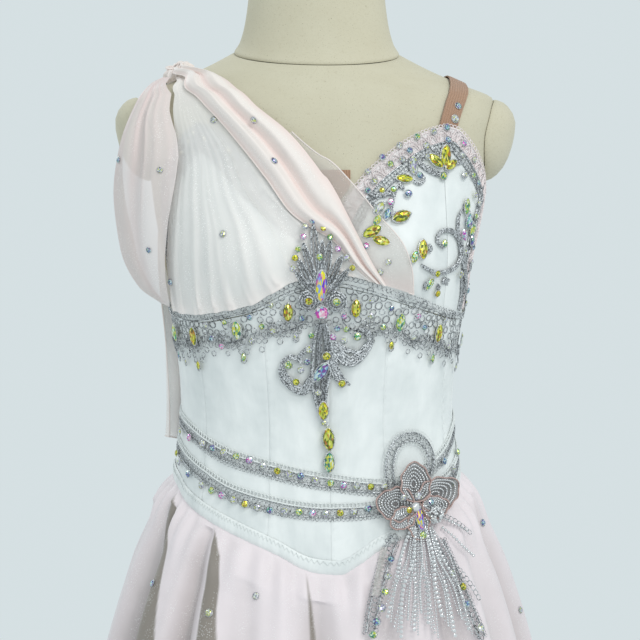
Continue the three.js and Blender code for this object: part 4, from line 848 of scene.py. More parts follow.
# Silver cord and gimp run from near black to pale: painted shade and highlights on the twisted thread
SILVER = thread_paint("Silver_cord", (0.05, 0.055, 0.06), (0.74, 0.76, 0.78), 0.60, 0.26, 1150)
DARK_SILVER = thread_paint("Silver_gimp", (0.035, 0.037, 0.04), (0.50, 0.52, 0.54), 0.55, 0.30, 1150)
WHITE_THREAD = thread_paint("White_thread", (0.66, 0.69, 0.68), (0.88, 0.90, 0.89), 0.0, 0.55)
BLUSH_THREAD = thread_paint("Blush_lace_thread", (0.72, 0.60, 0.60), (0.90, 0.84, 0.83), 0.05, 0.45)
ROSE_EDGE = thread_paint("Rose_edge_thread", (0.36, 0.22, 0.20), (0.62, 0.46, 0.42), 0.2, 0.4)
BEADS = Paint("Clear_beads", Base_Color=colour(0.72, 0.73, 0.74), Metallic=0.5, Roughness=0.12).material
PEARL = Paint("Cream_pearls", Base_Color=colour(0.86, 0.80, 0.66), Roughness=0.25, Coat_Weight=0.5).material
METAL = thread_paint("Stone_setting", (0.34, 0.35, 0.36), (0.72, 0.73, 0.74), 0.85, 0.18)
GEM = gem_paint()
ELASTIC = elastic_paint()
BLUSH_NET = mesh_paint("Blush_net", (0.84, 0.76, 0.76), 0.45)
SILVER_NET = mesh_paint("Silver_net", (0.62, 0.64, 0.65), 0.01)
PETAL_NET = mesh_paint("Petal_net", (0.16, 0.15, 0.15), 0.66)
STEEL = steel_paint()


def made(piece, slot, *nodes):
    if nodes:
        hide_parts(*nodes)
    return piece


def cloth_sheet(points):
    """Works out the two diagonals of each cell of a grid; nothing is kept."""
    a, b = points[1:, 1:] - points[:-1, :-1], points[1:, :-1] - points[:-1, 1:]


def laid_cloth(name, points, material, extra, place, around=False):
    """One layer of cloth, with the CAD nodes it stands for hidden."""
    piece = open_cloth(name, points, material, extra, around)
    made(piece, *place)
    cloth_sheet(points)


def silver(pile, name, material, *nodes):
    made(pile.build(name, material), "silver_lace", *nodes)


def linen(name, points, node):
    made(open_cloth("linen_" + name, points, LINEN, 0.0, True), "form_linen", node)


def neck_rings(rows, heights):
    angle = np.radians(np.linspace(-180, 180, 96, endpoint=False))
    part = at_height(rows, heights[:, None], "width", "front", "back", "drop")
    depth = np.where(np.cos(angle) > 0, part["front"], part["back"])
    return np.stack([part["width"] * np.sin(angle), -depth * np.cos(angle),
                     heights[:, None] - part["drop"] * np.cos(angle)], -1)


def make_form():
    turns = np.linspace(-180, 180, 144, endpoint=False)
    heights = np.concatenate([np.linspace(640, 1140, 70), np.linspace(1143, 1198, 26)])
    rings = form_point(turns[None], heights[:, None])
    floor = np.stack([rings[0] * [s, s, 1] for s in (0.02, 0.55, 0.93)])
    lid = np.stack([rings[-1] * [s, s, 1] - [0, 0, (1 - s) * 2] for s in (0.97, 0.5, 0.02)])
    linen("torso", np.concatenate([floor, rings, lid]), "form_body")

    rows = table("height width front back drop", """
    1198.3 64.6 49.1 57.1 13.7 | 1199.6 65.0 49.6 57.6 13.6 | 1202 63.6 48.2 56.2 13.2
    1206 61 46 54 12.5 | 1222 56.5 42.5 50 10 | 1244 53.5 41 47 7 | 1262 52 40 46 5""")
    heights = np.concatenate([np.linspace(1198.3, 1203, 6), np.linspace(1206, 1262, 14)])
    neck = neck_rings(rows, heights)
    foot = np.stack([neck[0] * [s, s, 1] for s in (0.1, 0.9)])
    top = np.stack([neck[-1] * [s, s, 1] for s in (0.9, 0.1)])
    linen("neck", np.concatenate([foot, neck, top]), "form_neck")
    cap_rows = table("height width front back drop", """
    1262.3 52 40 46 5 | 1267 52.3 40.3 46.3 5 | 1271 44 33 39 4 | 1274 24 18 22 2 | 1275 3 2 3 0""")
    heights = np.array([1262.3, 1264, 1266, 1267.4, 1269, 1271, 1272.6, 1274, 1274.6, 1275])
    cap = neck_rings(cap_rows, heights)
    foot = np.stack([cap[0] * [s, s, 1] for s in (0.1, 0.95)])
    linen("neck_cap", np.concatenate([foot, cap, cap[-1:] * [0.03, 0.03, 1]]), "neck_cap")

    for side, name in ((-1, "arm_plate_left"), (1, "arm_plate_right")):
        angle = round_angles(72)
        profile = np.array([[0.02, 0.8], [0.45, 0.8], [0.9, 0.9], [1, 0.7], [1.015, 2], [1, 4.5],
                            [0.95, 8.5], [0.86, 12], [0.7, 15.8], [0.5, 18.3], [0.25, 20], [0.02, 20.5]])
        reach, out = profile[:, :1], profile[:, 1:]
        y = reach * 34 * np.cos(angle)
        height = 1131 + reach * 32 * np.sin(angle)
        part = at_height(SECTIONS, height, "width", "front", "back", "square")
        depth = np.where(y < 0, part["front"], part["back"])
        inset = (1 - (np.abs(y) / depth) ** part["square"]) ** (1 / part["square"])
        points = np.stack([side * (part["width"] * inset + out), y, height], -1)
        if side < 0:
            points = points[:, ::-1]
        linen(name, points, name)


def turned(name, profile, steps, *nodes):
    angle = round_angles(steps)
    radius, height = np.array(profile).T
    points = np.stack([radius[:, None] * np.cos(angle), radius[:, None] * np.sin(angle),
                       np.broadcast_to(height[:, None], (len(radius), steps))], -1)
    made(open_cloth(name, points, STEEL, 0.0, True), "stand_steel", *nodes)


def make_stand():
    base = [[0.5, 0], [147, 0], [149.2, 0.5], [150, 2], [150, 8], [149, 10], [146, 11.6], [140, 12.3],
            [90, 13.2], [42, 14], [32, 15.5], [27, 20], [24, 26], [22.4, 32.5], [21.4, 33.7],
            [20, 34], [13.4, 34], [12.9, 33.4], [12.8, 14.05], [0.5, 14.05]]
    turned("stand_round_base", base, 96, "stand_base")
    pole = [[0.3, 14.3], [12.5, 14.3], [12.5, 120], [12.5, 639.5], [0.3, 639.6]]
    turned("stand_upright", pole, 48, "stand_pole")


# Bodice
def seam_turn(index, height):
    share = np.clip((height - 840) / 160, 0, 1)
    return mix(SEAMS[index][2], SEAMS[index][1], share)


def panel_turn(index, share, height):
    return mix(seam_turn(index, height), seam_turn(index + 1, height), share)


def crossing(index, share, line):
    height = np.full(np.shape(share), 920.0)
    for _ in range(5):
        height = height_on(line, panel_turn(index, share, height))
    return height


def close_to_edges(count):
    """Even steps that crowd at both ends."""
    return 0.5 - 0.5 * np.cos(np.pi * np.arange(count + 1) / count)


def make_panels():
    for index in range(len(SEAMS) - 1):
        name = SEAMS[index][0]
        share = close_to_edges(26)
        level = np.linspace(0, 1, 88)[:, None]
        foot, top = crossing(index, share, HEM_LINE), crossing(index, share, UNDERBUST_LINE)
        height = mix(foot[None], top[None], level)
        turn = panel_turn(index, share[None], height)
        base = form_point(turn, height)
        width = np.linalg.norm(np.diff(base, axis=1), axis=-1).sum(1, keepdims=True)
        near = np.minimum(share, 1 - share)[None] * width
        turn = turn + np.where(share[None] < 0.5, 1, -1) * np.exp(-near / 2) * SEAM_GAP / 8 / width * (
            seam_turn(index + 1, 940) - seam_turn(index, 940))
        wander = 3 * waves(turn * 0.05, height * 0.02, index)
        pucker = 0.16 * np.sin(height * 0.74 + wander) * bump(near, 2.5, 3)
        soft = 0.42 * waves(turn * 0.14, height * 0.05, 31 + index, 6) * np.clip(near / 8, 0, 1)
        channel = 0.12 * bump(near, 5.5, 1.6)
        out = SATIN[1] - 0.35 * np.exp(-(near / 0.6) ** 2) + pucker + soft + channel
        # Painted shade, strongest at the seams, carried as the piece's own value
        dark = 0.8 * np.exp(-near / 0.7)
        outer, inner = on_form(turn, height, out), on_form(turn, height, SATIN[0])
        piece = walled_cloth("satin_" + name, outer, inner, SATIN_CLOTH, dark)
        made(piece, "white_satin", "bodice_" + name)
        cloth_sheet(outer)


def cup_turn(cup, start, end, share, height):
    first, last = (smoothly(cup[line], "height", "turn", height) for line in (start, end))
    return mix(first, last, share)


def make_cups():
    for side, sign in (("right", 1), ("left", -1)):
        cup = CUPS[side]
        for half, start, end, top in (("inner", "inner", "middle", "innerTop"),
                                      ("outer", "middle", "outer", "outerTop")):
            share = close_to_edges(44 if half == "inner" else 30)
            level = np.linspace(0, 1, 60)[:, None]
            height = np.broadcast_to(1010.0, (60, len(share)))
            foot = height_on(UNDERBUST_LINE, cup_turn(cup, start, end, share, [1000])) + 0.9
            for _ in range(6):
                turn = cup_turn(cup, start, end, share, height)
                height = mix(foot[None], smoothly(cup[top], "share", "height", share)[None], level)
            base = form_point(turn, height)
            width = np.linalg.norm(np.diff(base, axis=1), axis=-1).sum(1, keepdims=True)
            near = np.minimum(share, 1 - share)[None] * width
            seam = (1 - share if half == "inner" else share)[None] * width
            soft = 0.5 * waves(turn * 0.11, height * 0.06, 5 + len(half), 6) * np.clip(near / 6, 0, 1)
            turn = turn + sign * np.where(share[None] < 0.5, 1, -1) * np.exp(-near / 2) * 0.1
            out = SATIN[1] - 0.35 * np.exp(-(near / 0.6) ** 2) + soft
            outer, inner = on_form(turn, height, out), on_form(turn, height, SATIN[0])
            # Painted shade along the cup's middle seam, carried as the piece's own value
            dark = 0.5 * np.exp(-seam / 0.6)
            piece = walled_cloth(f"satin_cup_{side}_{half}", outer, inner, SATIN_CLOTH, dark)
            made(piece, "white_satin", f"cup_{side}_{half}")
            cloth_sheet(outer)
    height = np.linspace(1068, 1104, 24)[:, None]
    share = np.linspace(0, 1, 24)[None]
    left = smoothly(CUPS["left"]["inner"], "height", "turn", height) + 1.2
    right = smoothly(CUPS["right"]["inner"], "height", "turn", height) - 1.2
    points = on_form(mix(left, right, share), height, 1.8)
    laid_cloth("nude_bridge", points, ELASTIC, 0.0, ("nude_elastic", "neck_bridge"))


# Sheer cloth
def fold_shape(share, crests):
    """Height of the folds over their troughs: 1 on each crest."""
    crests = np.array(crests)
    middles = np.concatenate([[0], (crests[1:] + crests[:-1]) / 2, [1]])
    raised = np.zeros_like(share)
    for crest, low, high in zip(crests, middles[:-1], middles[1:]):
        span = np.where(share < crest, crest - low, high - crest)
        away = np.clip(np.abs(share - crest) / span, 0, 1)
        here = (share >= low) & (share <= high)
        raised = np.maximum(raised, np.where(here, 0.5 + 0.5 * np.cos(np.pi * away), 0))
    return raised


def gathers(share, level, seed, count, reaches):
    """Ridges that run up from the foot, each as far and as wide as it likes."""
    draw = np.random.RandomState(seed)
    total = 0 * share * level
    for k in range(count):
        middle = (k + 0.5 + draw.uniform(-0.42, 0.42)) / count
        reach = draw.uniform(*reaches)
        lean, wide = draw.uniform(-0.05, 0.05), draw.uniform(0.14, 0.30) / count
        grown = np.clip((level - 1 + reach) / reach, 0, 1)
        grown = grown * grown * (3 - 2 * grown) * draw.uniform(0.5, 1.0)
        total = total + grown * bump(share, middle + lean * (1 - level), wide)
    return total


def drape_points(rows, across, levels, crests, extra):
    share, level = np.linspace(0, 1, across)[None], np.linspace(0, 1, levels)[:, None]
    value = {key: smoothly(rows, "share", key, level) for key in rows[0] if key != "share"}
    turn = mix(value["turnA"], value["turnB"], share)
    height = mix(value["heightA"], value["heightB"], share)
    raised = fold_shape(np.broadcast_to(share, turn.shape), crests)
    out, height, fold = extra(share, level, value, height, raised)
    return on_form(turn, height, out), fold


def rolled_edge(name, edge, radius):
    """Narrow rolled hem along an edge of the organza."""
    pile = Pile(0.3)
    cord(pile, edge, radius, way_from_body(edge), 6)
    made(pile.build(name, ROLLED), "blush_organza")


def make_drapes():
    def cup(share, level, value, height, raised):
        last = DRAPE_CUP[-1]
        foot_turn = mix(last["turnA"], last["turnB"], share)
        foot = height_on(LACE_TOP_LINE, foot_turn) + 0.6 - mix(last["heightA"], last["heightB"], share)
        height = height + level ** 3 * foot
        quiet = np.where(share > 0.76, 0.35, 1.0) * np.clip((level - 0.12) * 3, 0, 1)
        short = gathers(share, level, 3, 15, (0.08, 0.26))
        long = gathers(share, level, 8, 9, (0.45, 0.85))
        rays = gathers(share, 1 - level, 4, 6, (0.15, 0.32))
        soft = 1.0 * waves(share * 13, level * 5, 13) * np.sin(np.pi * level)
        out = value["out"] + quiet * (value["fold"] * (raised * 0.1 + 0.2) + soft)
        out = out + 2.2 * short + 1.7 * long + 0.35 * rays
        out = np.where(level > 0.97, np.minimum(out, value["out"] + 2.6), out)
        fold = 0.3 * short + 0.25 * long + 0.12 * rays + 0.6 * bump(level, 0, 0.13)
        fold = fold + 0.3 * bump(level, 1, 0.05)
        return out, height, fold
    points, fold = drape_points(DRAPE_CUP, 230, 100, [0.05, 0.17, 0.28, 0.38, 0.5, 0.6, 0.69, 0.78], cup)
    laid_cloth("organza_over_cup", points[:, ::-1], SHEER, fold[:, ::-1], ("blush_organza", "drape_cup"))

    def sash(share, level, value, height, raised):
        crease = 0.7 * waves(share * 34, level * 7, 21) + 0.5 * waves(share * 60, level * 4, 22)
        out = value["out"] + value["fold"] * raised ** 0.7 + crease * np.sin(np.pi * share)
        # Fold value higher in the troughs between crests: painted shade
        fold = 0.15 + 0.8 * (1 - raised) ** 2 + 0.25 * crease
        return out, height - 6 * bump(level, 0, 0.07), fold
    points, fold = drape_points(DRAPE_SASH, 90, 150, [0.28, 0.74], sash)
    laid_cloth("organza_sash", points[:, ::-1], ROLLED, fold[:, ::-1], ("blush_organza", "drape_sash"))
    rolled_edge("sash_lower_edge", points[:, 0], 0.45)

    def flap(share, level, value, height, raised):
        out = value["out"] + value["fold"] * raised + 0.5 * waves(share * 4, level * 9, 3)
        return out, height + 0 * out, 0.15 + 0.5 * bump(share, 0, 0.2) + 0.7 * bump(level, 1, 0.08)
    points, fold = drape_points(DRAPE_FLAP, 40, 90, [0.65], flap)
    laid_cloth("organza_flap", points[:, ::-1], THIN, fold[:, ::-1], ("blush_organza", "drape_flap"))
    edge = np.concatenate([points[:, -1], points[-1, ::-1][:8]])
    rolled_edge("flap_rolled_hem", edge, 0.55)

    def back(share, level, value, height, raised):
        ripple = 0.9 * np.sin(2 * np.pi * 5 * share + 3 * np.sin(3 * level)) * np.clip(level * 3, 0, 1)
        rays = 0.8 * np.sin(2 * np.pi * 9 * share) * bump(level, 0.05, 0.12)
        near_knot = bump(level, 0, 0.10)
        out = value["out"] * (1 - 0.55 * near_knot) + value["fold"] * raised * (1 - near_knot)
        out = out + ripple + rays
        # Fold value higher in the troughs and near the knot: painted shade in the troughs, layered cloth at
        # the knot
        return out, height - 9 * near_knot, 0.15 + 0.4 * (1 - raised) + 0.5 * bump(level, 0, 0.1)
    points, fold = drape_points(DRAPE_BACK, 110, 130, [0.16, 0.5, 0.84], back)
    laid_cloth("organza_back_fall", points, SHEER, fold, ("blush_organza", "drape_back"))
    for name, edge in (("back_fall_front_hem", points[:, -1]), ("back_fall_rear_hem", points[:, 0]),
                       ("back_fall_foot_hem", points[-1])):
        rolled_edge(name, edge, 0.6)


def way_from_body(points):
    return unit(points * [1, 1, 0])


def make_side_fall():
    rows, across, levels = DRAPE_SIDE, 90, 120
    level = np.linspace(0, 1, levels)
    value = {key: smoothly(rows, "share", key, level) for key in rows[0] if key != "share"}
    over = np.clip((level - 0.22) * 5, 0, 1)
    front = on_form(value["turn"] + 5 * over, value["height"], value["out"] + 4 * over)
    outer = np.stack([value["x"], value["y"], value["z"]], -1)
    behind = outer + np.stack([value["backX"], value["backY"], 0 * level], -1)
    share = np.linspace(0, 1, across)
    run = np.clip(share / 0.75, 0, 1)[None]
    turned_in = np.clip((share - 0.75) / 0.25, 0, 1)[None, :, None]
    loose = np.sin(np.pi * level)[:, None]
    points = mix(front[:, None], outer[:, None], run[..., None])
    points = np.where(turned_in > 0, mix(outer[:, None], behind[:, None], turned_in), points)
    lift = loose * (11 * np.sin(np.pi * run) - 5 * bump(run, 0.58, 0.13))
    long = gathers(run, 1 - level[:, None], 42, 5, (0.6, 1.2))
    ripples = 1.0 * waves(run * 9, level[:, None] * 3, 41) + 2.6 * long
    lift = lift + ripples * loose ** 0.5 * (1 - turned_in[..., 0]) * np.sin(np.pi * np.clip(run, 0, 1))
    points = points + unit(np.array([-0.45, -0.9, 0])) * lift[..., None]
    # Fold value: layered gathers, and painted shade in the trough and where the cloth turns in behind
    fold = 0.1 + 0.5 * long + 0.4 * bump(run, 0.58, 0.16) + 0.6 * bump(level[:, None], 0, 0.12)
    fold = np.broadcast_to(fold + 0.35 * bump(run, 1, 0.12), (levels, across))
    laid_cloth("organza_side_fall", points[:, ::-1], SIDE, fold[:, ::-1], ("blush_organza", "drape_side"))


def make_knot():
    centre, out = form_point(-90, 1178.8), way_out(-90, 1178.8)
    out = unit(out + np.array([-0.25, -0.5, 0.3]))
    axes = frames_of(out[None], np.array([[0.3, 0, 1.0]]))[0]
    angle = round_angles(90)
    share = np.linspace(0.02, 1, 26)[:, None]
    radius = 12.2 * share ** 0.75 * (1 + 0.10 * np.sin(7 * angle + 5 * share) + 0.05 * np.sin(17 * angle))
    frill = 0.9 * np.sin(9 * angle - 6 * share) * share * (1.2 - share)
    rise = 10.5 * np.sqrt(np.clip(1 - (share * 0.97) ** 2.4, 0, 1)) + frill
    rise = rise - 3.2 * bump(share, 0, 0.22)
    local = np.stack([radius * np.cos(angle), radius * np.sin(angle), rise], -1)
    points = local @ axes.T + centre + out * 0.9
    # Fold value highest at the gathered middle: layers of cloth, and painted shade in its hollow
    fold = 0.35 + 0.5 * bump(share[::-1], 0, 0.3) + 0 * angle
    laid_cloth("shoulder_knot_cloth", points[::-1], ROLLED, fold, ("blush_organza", "shoulder_knot"),
               True)
    pile = Pile(0.4)
    for start, size in ((0.3, 5.2), (1.9, 4.4), (3.6, 4.8)):
        a = round_angles(22)
        across = 4.5 * np.cos(start) + size * 0.6 * np.cos(a)
        up = 4.5 * np.sin(start) + size * 0.6 * np.sin(a)
        loop = np.stack([across, up, 9.6 + 1.4 * np.sin(a + start)], -1)
        cord(pile, loop @ axes.T + centre + out, 1.3, np.broadcast_to(out, loop.shape), 7, 0.7, loop=True)
    made(pile.build("knot_little_loops", ROLLED), "blush_organza")


# Skirt: painted shade in the gaps between folds, each gap with its two edges as turns at a row of drops
SKIRT_GAP_SHADE = [
    ([2.5, 7.5, 16, 34, 49, 70, 160], [-40.0, -38.6, -37.2, -36.8, -36.6, -35.4, -34.5],
     [-39.6, -36.0, -33.2, -31.2, -30.6, -28.8, -26.0]),
    ([2, 18, 44, 150], [-4.8, -4.2, -3.9, -3.9], [-4.6, -3.4, -2.2, -0.5]),
    ([2.5, 12, 31, 67, 101, 180], [-70, -71, -70, -67.0, -63.8, -61], [-69, -63.5, -58.0, -53.0, -49.2, -46])]


def skirt_point(turn, drop, extra):
    turn = wrap(np.asarray(turn, float))
    top = height_on(HEM_LINE, turn) - 1
    start = form_point(turn, top)
    way = unit(np.stack([0.92 * np.sin(np.radians(turn)), -np.cos(np.radians(turn)), 0 * turn], -1))
    out = smoothly(SKIRT_FLARE, "drop", "out", drop) + extra
    point = start + way * out[..., None]
    point[..., 2] = top - drop
    return point


def skirt_fold(turn, drop, wider, power):
    depth = 0
    turn = np.asarray(turn, float)
    for fold in SKIRT_FOLDS:
        away = (turn - fold["turn"] + 540) % 360 - 180
        grown = np.clip((drop - fold["start"]) / 300, 0, 1) ** power
        depth = depth + fold["depth"] * grown * bump(away, 0, fold["spread"] * (1 + 0.25 * grown) * wider)
    return depth


def skirt_place(turn, level):
    top = height_on(HEM_LINE, wrap(turn)) - 1
    drop = level * (top - SKIRT_HEM)
    turn = wrap(np.asarray(turn, float))
    deep = skirt_fold(turn, drop, 1.2, 0.5)
    shade = 0.55 * (skirt_fold(turn, drop, 1.5, 0.28) / 25) ** 1.4
    quiet = np.clip(np.abs(np.abs(turn) - 180) / 12, 0, 1)
    small = (1.6 * np.sin(np.radians(turn * 47) + 2 * np.sin(np.radians(turn * 5))) * bump(drop, 8, 26)
             + 5.0 * waves(turn * 0.55, drop * 0.004, 17, 6) * np.clip(drop / 120, 0, 1)
             + 1.6 * waves(turn * 1.1, drop * 0.004, 23, 6) * np.clip(drop / 60, 0, 1))
    small = small * quiet
    point = skirt_point(turn, drop, -deep + small * np.clip(drop / 6, 0, 1))
    for drops, left, right in SKIRT_GAP_SHADE:
        inside = np.minimum(turn - np.interp(drop, drops, left), np.interp(drop, drops, right) - turn)
        strength = np.clip((drop - drops[0]) / 4, 0, 1) * (1 - 0.75 * np.clip((drop - 100) / 90, 0, 1))
        shade = np.maximum(shade, np.clip(inside * 1.4 + 0.4, 0, 1) * strength)
    return point, np.clip(shade - small * 0.02, 0, 1)


def make_skirt():
    for name, start, end in SKIRT_PANELS:
        count = int((end - start) / 0.36)
        turn = np.linspace(start, end, count + 1)[None]
        level = np.concatenate([np.linspace(0, 0.16, 32), np.linspace(0.18, 1, 36)])[:, None]
        # The second value is the painted shade of the folds and gaps, drawn in the skirt's fold colour
        points, deep = skirt_place(*np.broadcast_arrays(turn, level))
        laid_cloth("organza_" + name, points, SKIRT_CLOTH, deep, ("blush_organza", name))
        foot = Pile(0.1)
        cord(foot, points[-1] + [0, 0, 0.6], 0.8, way_from_body(points[-1]), 5)
        made(foot.build("hem_roll_" + name, SKIRT_CLOTH), "blush_organza")


# Trim: where it lies
def lifted(out):
    """Cover that stands off the front of the form by so many millimetres."""
    name = f"off_{out:.1f}"
    if name not in covers:
        turn, height = np.meshgrid(np.linspace(-112, 112, 113), np.linspace(812, 1192, 96))
        points = on_form(turn, height, out)
        keep_cover(name, points, grid_faces(*turn.shape))
    return [name]


def over_skirt(out):
    """Cover that stands off the front of the skirt."""
    name = f"skirt_{out:.1f}"
    if name not in covers:
        turn, drop = np.meshgrid(np.linspace(-60, 80, 71), np.linspace(-14, 350, 60))
        points = skirt_point(turn, drop, out)
        keep_cover(name, points, grid_faces(*turn.shape))
    return [name]


def settle(points, over, lift):
    """Nearest places on the covers, lifted off them."""
    places, normals = [], []
    for point in np.asarray(points, float).reshape(-1, 3):
        found = min((covers[name].find_nearest(Vector(point)) for name in over), key=lambda hit: hit[3])
        place, normal = np.array(found[0]), np.array(found[1])
        if normal[0] * place[0] + normal[1] * place[1] < 0:
            normal = -normal
        places.append(place)
        normals.append(normal)
    normals = unit(np.array(normals))
    return np.array(places) + normals * lift, normals


def rows_beside(path, normals, offsets, over, lift, inward=None):
    """Lines beside a path, settled on the covers: one row for each offset."""
    side = unit(np.cross(normals, ahead_of(path)))
    if inward is not None and np.mean(np.sum(side * (inward - path), -1)) < 0:
        side = -side
    rows = [settle(path + side * offset, over, lift) for offset in offsets]
    return np.array([row[0] for row in rows]), np.array([row[1] for row in rows])


def even_steps(points, spacing):
    """Every place along a line that is a whole step further on, with how far along it lies."""
    length = lengths_along(points)
    even = np.linspace(0, length[-1], max(int(round(length[-1] / spacing)), 1) + 1)
    return np.stack([np.interp(even, length, points[:, k]) for k in range(3)], -1), even / length[-1]


def rings_along(pile, points, normals, radius, spacing, shape=RING):
    places, share = even_steps(points, spacing)
    outs = between(normals, share * (len(points) - 1))
    stamp(pile, shape, places, frames_of(outs, ahead_of(places)), radius)


def beads(pile, places, radius):
    places = np.asarray(places).reshape(-1, 3)
    stamp(pile, BEAD, places, np.broadcast_to(np.eye(3), (len(places), 3, 3)), radius)


def beads_along(pile, points, radius, spacing):
    beads(pile, even_steps(points, spacing)[0], radius)


# Braids, belts and lace
HALVES = (("front", -92, 92), ("back", 92.2, 267.8))
PEARL_PIXELS = [(194, 133), (223, 133), (175, 144), (182, 153), (162, 163), (239, 144), (229, 151),
                (249, 163), (265, 180), (205, 139), (171, 158), (189, 142)]
PEARL_RADIUS = 1.8
PEARL_RISE = 1.0
LACE_DEPTH = 10.9
ARCH_WIDTH = 9.5
RINGS_LEFT_OUT = 0.16
CUP_EDGE_STEP = 1.2
CUP_EDGE_LINES = [-0.3, 1.5, 6.0, LACE_DEPTH, 11.9, 13.8, 16.5, 18.3]


def lace_threads(side, places, lines, outs):
    """Cords and rings of the lace edge, with its arches over the net."""
    threads = Pile()
    rings_along(threads, lines[0], outs[0], 1.5, 3.2, THICK_RING)
    cord(threads, lines[1], 0.45, outs[1], 5)
    cord(threads, lines[3], 0.55, outs[3], 5)
    rings_along(threads, lines[2], outs[2], 1.5, 3.9)
    count = int(places * CUP_EDGE_STEP / ARCH_WIDTH)
    a = np.linspace(0, np.pi, 13)
    for k in range(count):
        for deep, wide in ((8.6, 0.47), (5.6, 0.30)):
            at = (k + 0.5 + wide * np.cos(a)) / count * (places - 1)
            base, edge, out = between(lines[3], at), between(lines[0], at), between(outs[3], at)
            arc = mix(base, edge, (deep / LACE_DEPTH * np.sin(a))[:, None]) + out * 0.5
            cord(threads, arc, 0.55, out, 4)
    thread = BLUSH_THREAD if side == "right" else SILVER
    made(threads.build(f"lace_threads_{side}", thread), "blush_lace")


def cup_braid(side, path, lines, outs):
    """Silver braid under the lace edge; plain white cords where the left cup turns under the arm."""
    stop = len(path)
    if side == "left":
        stop = int(np.argmin(np.abs(path[:, 2] - 1105) + 1e3 * (path[:, 0] > -70)))
    braid = Pile()
    for k in (4, 7):
        cord(braid, lines[k][:stop], 0.75, outs[k][:stop], 6)
    for k in (5, 6):
        rings_along(braid, lines[k][:stop], outs[k][:stop], 1.55, 2.9)
    silver(braid, f"cup_{side}_braid_cords", SILVER, f"cup_{side}_braid")
    if side == "left":
        white = Pile()
        for k in (4, 5, 6, 7):
            cord(white, lines[k][stop - 1:], 0.7, outs[k][stop - 1:], 5)
        silver(white, "cup_left_white_cords", WHITE_THREAD)


def make_cup_edges():
    for side in ("left", "right"):
        table_rows = CUP_OUTLINE[side]
        turns, heights = ([row[key] for row in table_rows] for key in ("turn", "height"))
        corners = on_form(turns, heights, SATIN[1])
        path = curve(corners, CUP_EDGE_STEP)
        over = [f"satin_cup_{side}_inner", f"satin_cup_{side}_outer"]
        path, normals = settle(path, over, 0)
        middle = path.mean(0)
        offsets = np.linspace(0.4, 10.8, 10)
        points, _ = rows_beside(path, normals, offsets, over, 0.7, middle)
        if side == "right":
            points = points[::-1]
        laid_cloth(f"lace_net_{side}", points, BLUSH_NET if side == "right" else SILVER_NET, 0.0,
                   ("blush_lace", f"cup_{side}_lace_edge"))
        lines, outs = rows_beside(path, normals, CUP_EDGE_LINES, over, 0.9, middle)
        lace_threads(side, len(path), lines, outs)
        cup_braid(side, path, lines, outs)
    pearls = Pile()
    cup = ["satin_cup_left_inner", "satin_cup_left_outer"]
    for x, y in PEARL_PIXELS:
        place, normal = spot(x, y, cup)
        beads(pearls, place + normal * PEARL_RISE, PEARL_RADIUS)
    made(pearls.build("cup_left_pearls", PEARL), "blush_lace")


def make_belts():
    for name, line in (("upper_belt", UPPER_BELT_LINE), ("lower_belt", LOWER_BELT_LINE)):
        for half, first, last in HALVES:
            def at(height, out):
                turns = np.linspace(first, last, 300)
                wrapped = wrap(turns)
                level = height_on(line, wrapped) + height
                return on_form(wrapped, level, out), way_out(wrapped, level)
            points = np.stack([at(rise, TRIM + 0.2)[0] for rise in np.linspace(-3.9, 3.9, 5)])
            laid_cloth(f"{name}_{half}_net", points, SILVER_NET, 0.0, ("silver_lace", f"{name}_{half}"))
            braid, white = Pile(), Pile()
            for rise in (-3.5, 2.9):
                path, outs = at(rise, TRIM + 0.5)
                cord(braid, path[::2], 0.6, outs[::2], 5)
            rings_along(braid, *at(-0.5, TRIM + 0.7), 1.7, 3.3)
            rings_along(braid, *at(-5.0, TRIM + 0.4), 1.25, 3.3, FINE_RING)
            rings_along(white, *at(4.9, TRIM + 0.4), 1.9, 2.9, THICK_RING)
            path, outs = at(3.5, TRIM + 0.7)
            cord(white, path[::2], 0.75, outs[::2], 5)
            silver(braid, f"{name}_{half}_braid", SILVER)
            silver(white, f"{name}_{half}_loops", WHITE_THREAD)


def make_binding():
    for half, first, last in HALVES:
        turns = np.linspace(first, last, 320)
        wrapped = wrap(turns)
        line = height_on(HEM_LINE, wrapped)
        rise = np.array([-2.6, -1.4, 1, 4, 7, 8, 8.6])
        proud = np.array([-1.7, -0.5, 0.15, 0.25, 0.15, -0.1, -0.7]) + 3.9
        wrinkle = 0.18 * np.sin(wrapped * 2.9 + 2 * np.sin(wrapped * 0.7))
        points = on_form(wrapped[None], line[None] + rise[:, None], proud[:, None] + wrinkle[None])
        laid_cloth(f"hem_binding_{half}_band", points, SATIN_CLOTH, 0.0,
                   ("white_satin", f"hem_binding_{half}"))
        stitches = Pile()
        count = int((last - first) * 1.35)
        turns = np.linspace(first + 0.3, last - 0.3, count)
        wrapped = wrap(turns)
        rise = 6.2 + 1.5 * np.where(np.arange(count) % 2, 1, -1)
        line = height_on(HEM_LINE, wrapped) + rise
        cord(stitches, on_form(wrapped, line, 4.35), 0.22, way_out(wrapped, line), 4)
        made(stitches.build(f"hem_zigzag_{half}", WHITE_THREAD), "white_satin")
    seams = Pile()
    for index in range(len(SEAMS) - 1):
        level = np.linspace(0, 1, 120)
        foot, top = crossing(index, 0.0, HEM_LINE), crossing(index, 0.0, UNDERBUST_LINE)
        height = mix(foot + 9, top - 2, level)
        turn = seam_turn(index, height) + 0.75
        wrapped = wrap(turn)
        path = on_form(wrapped, height, 2.84)
        for k in range(0, 116, 4):
            cord(seams, path[k:k + 3], 0.10, way_out(wrapped[k:k + 3], height[k:k + 3]), 3)
    made(seams.build("bodice_stitching", WHITE_THREAD), "white_satin")


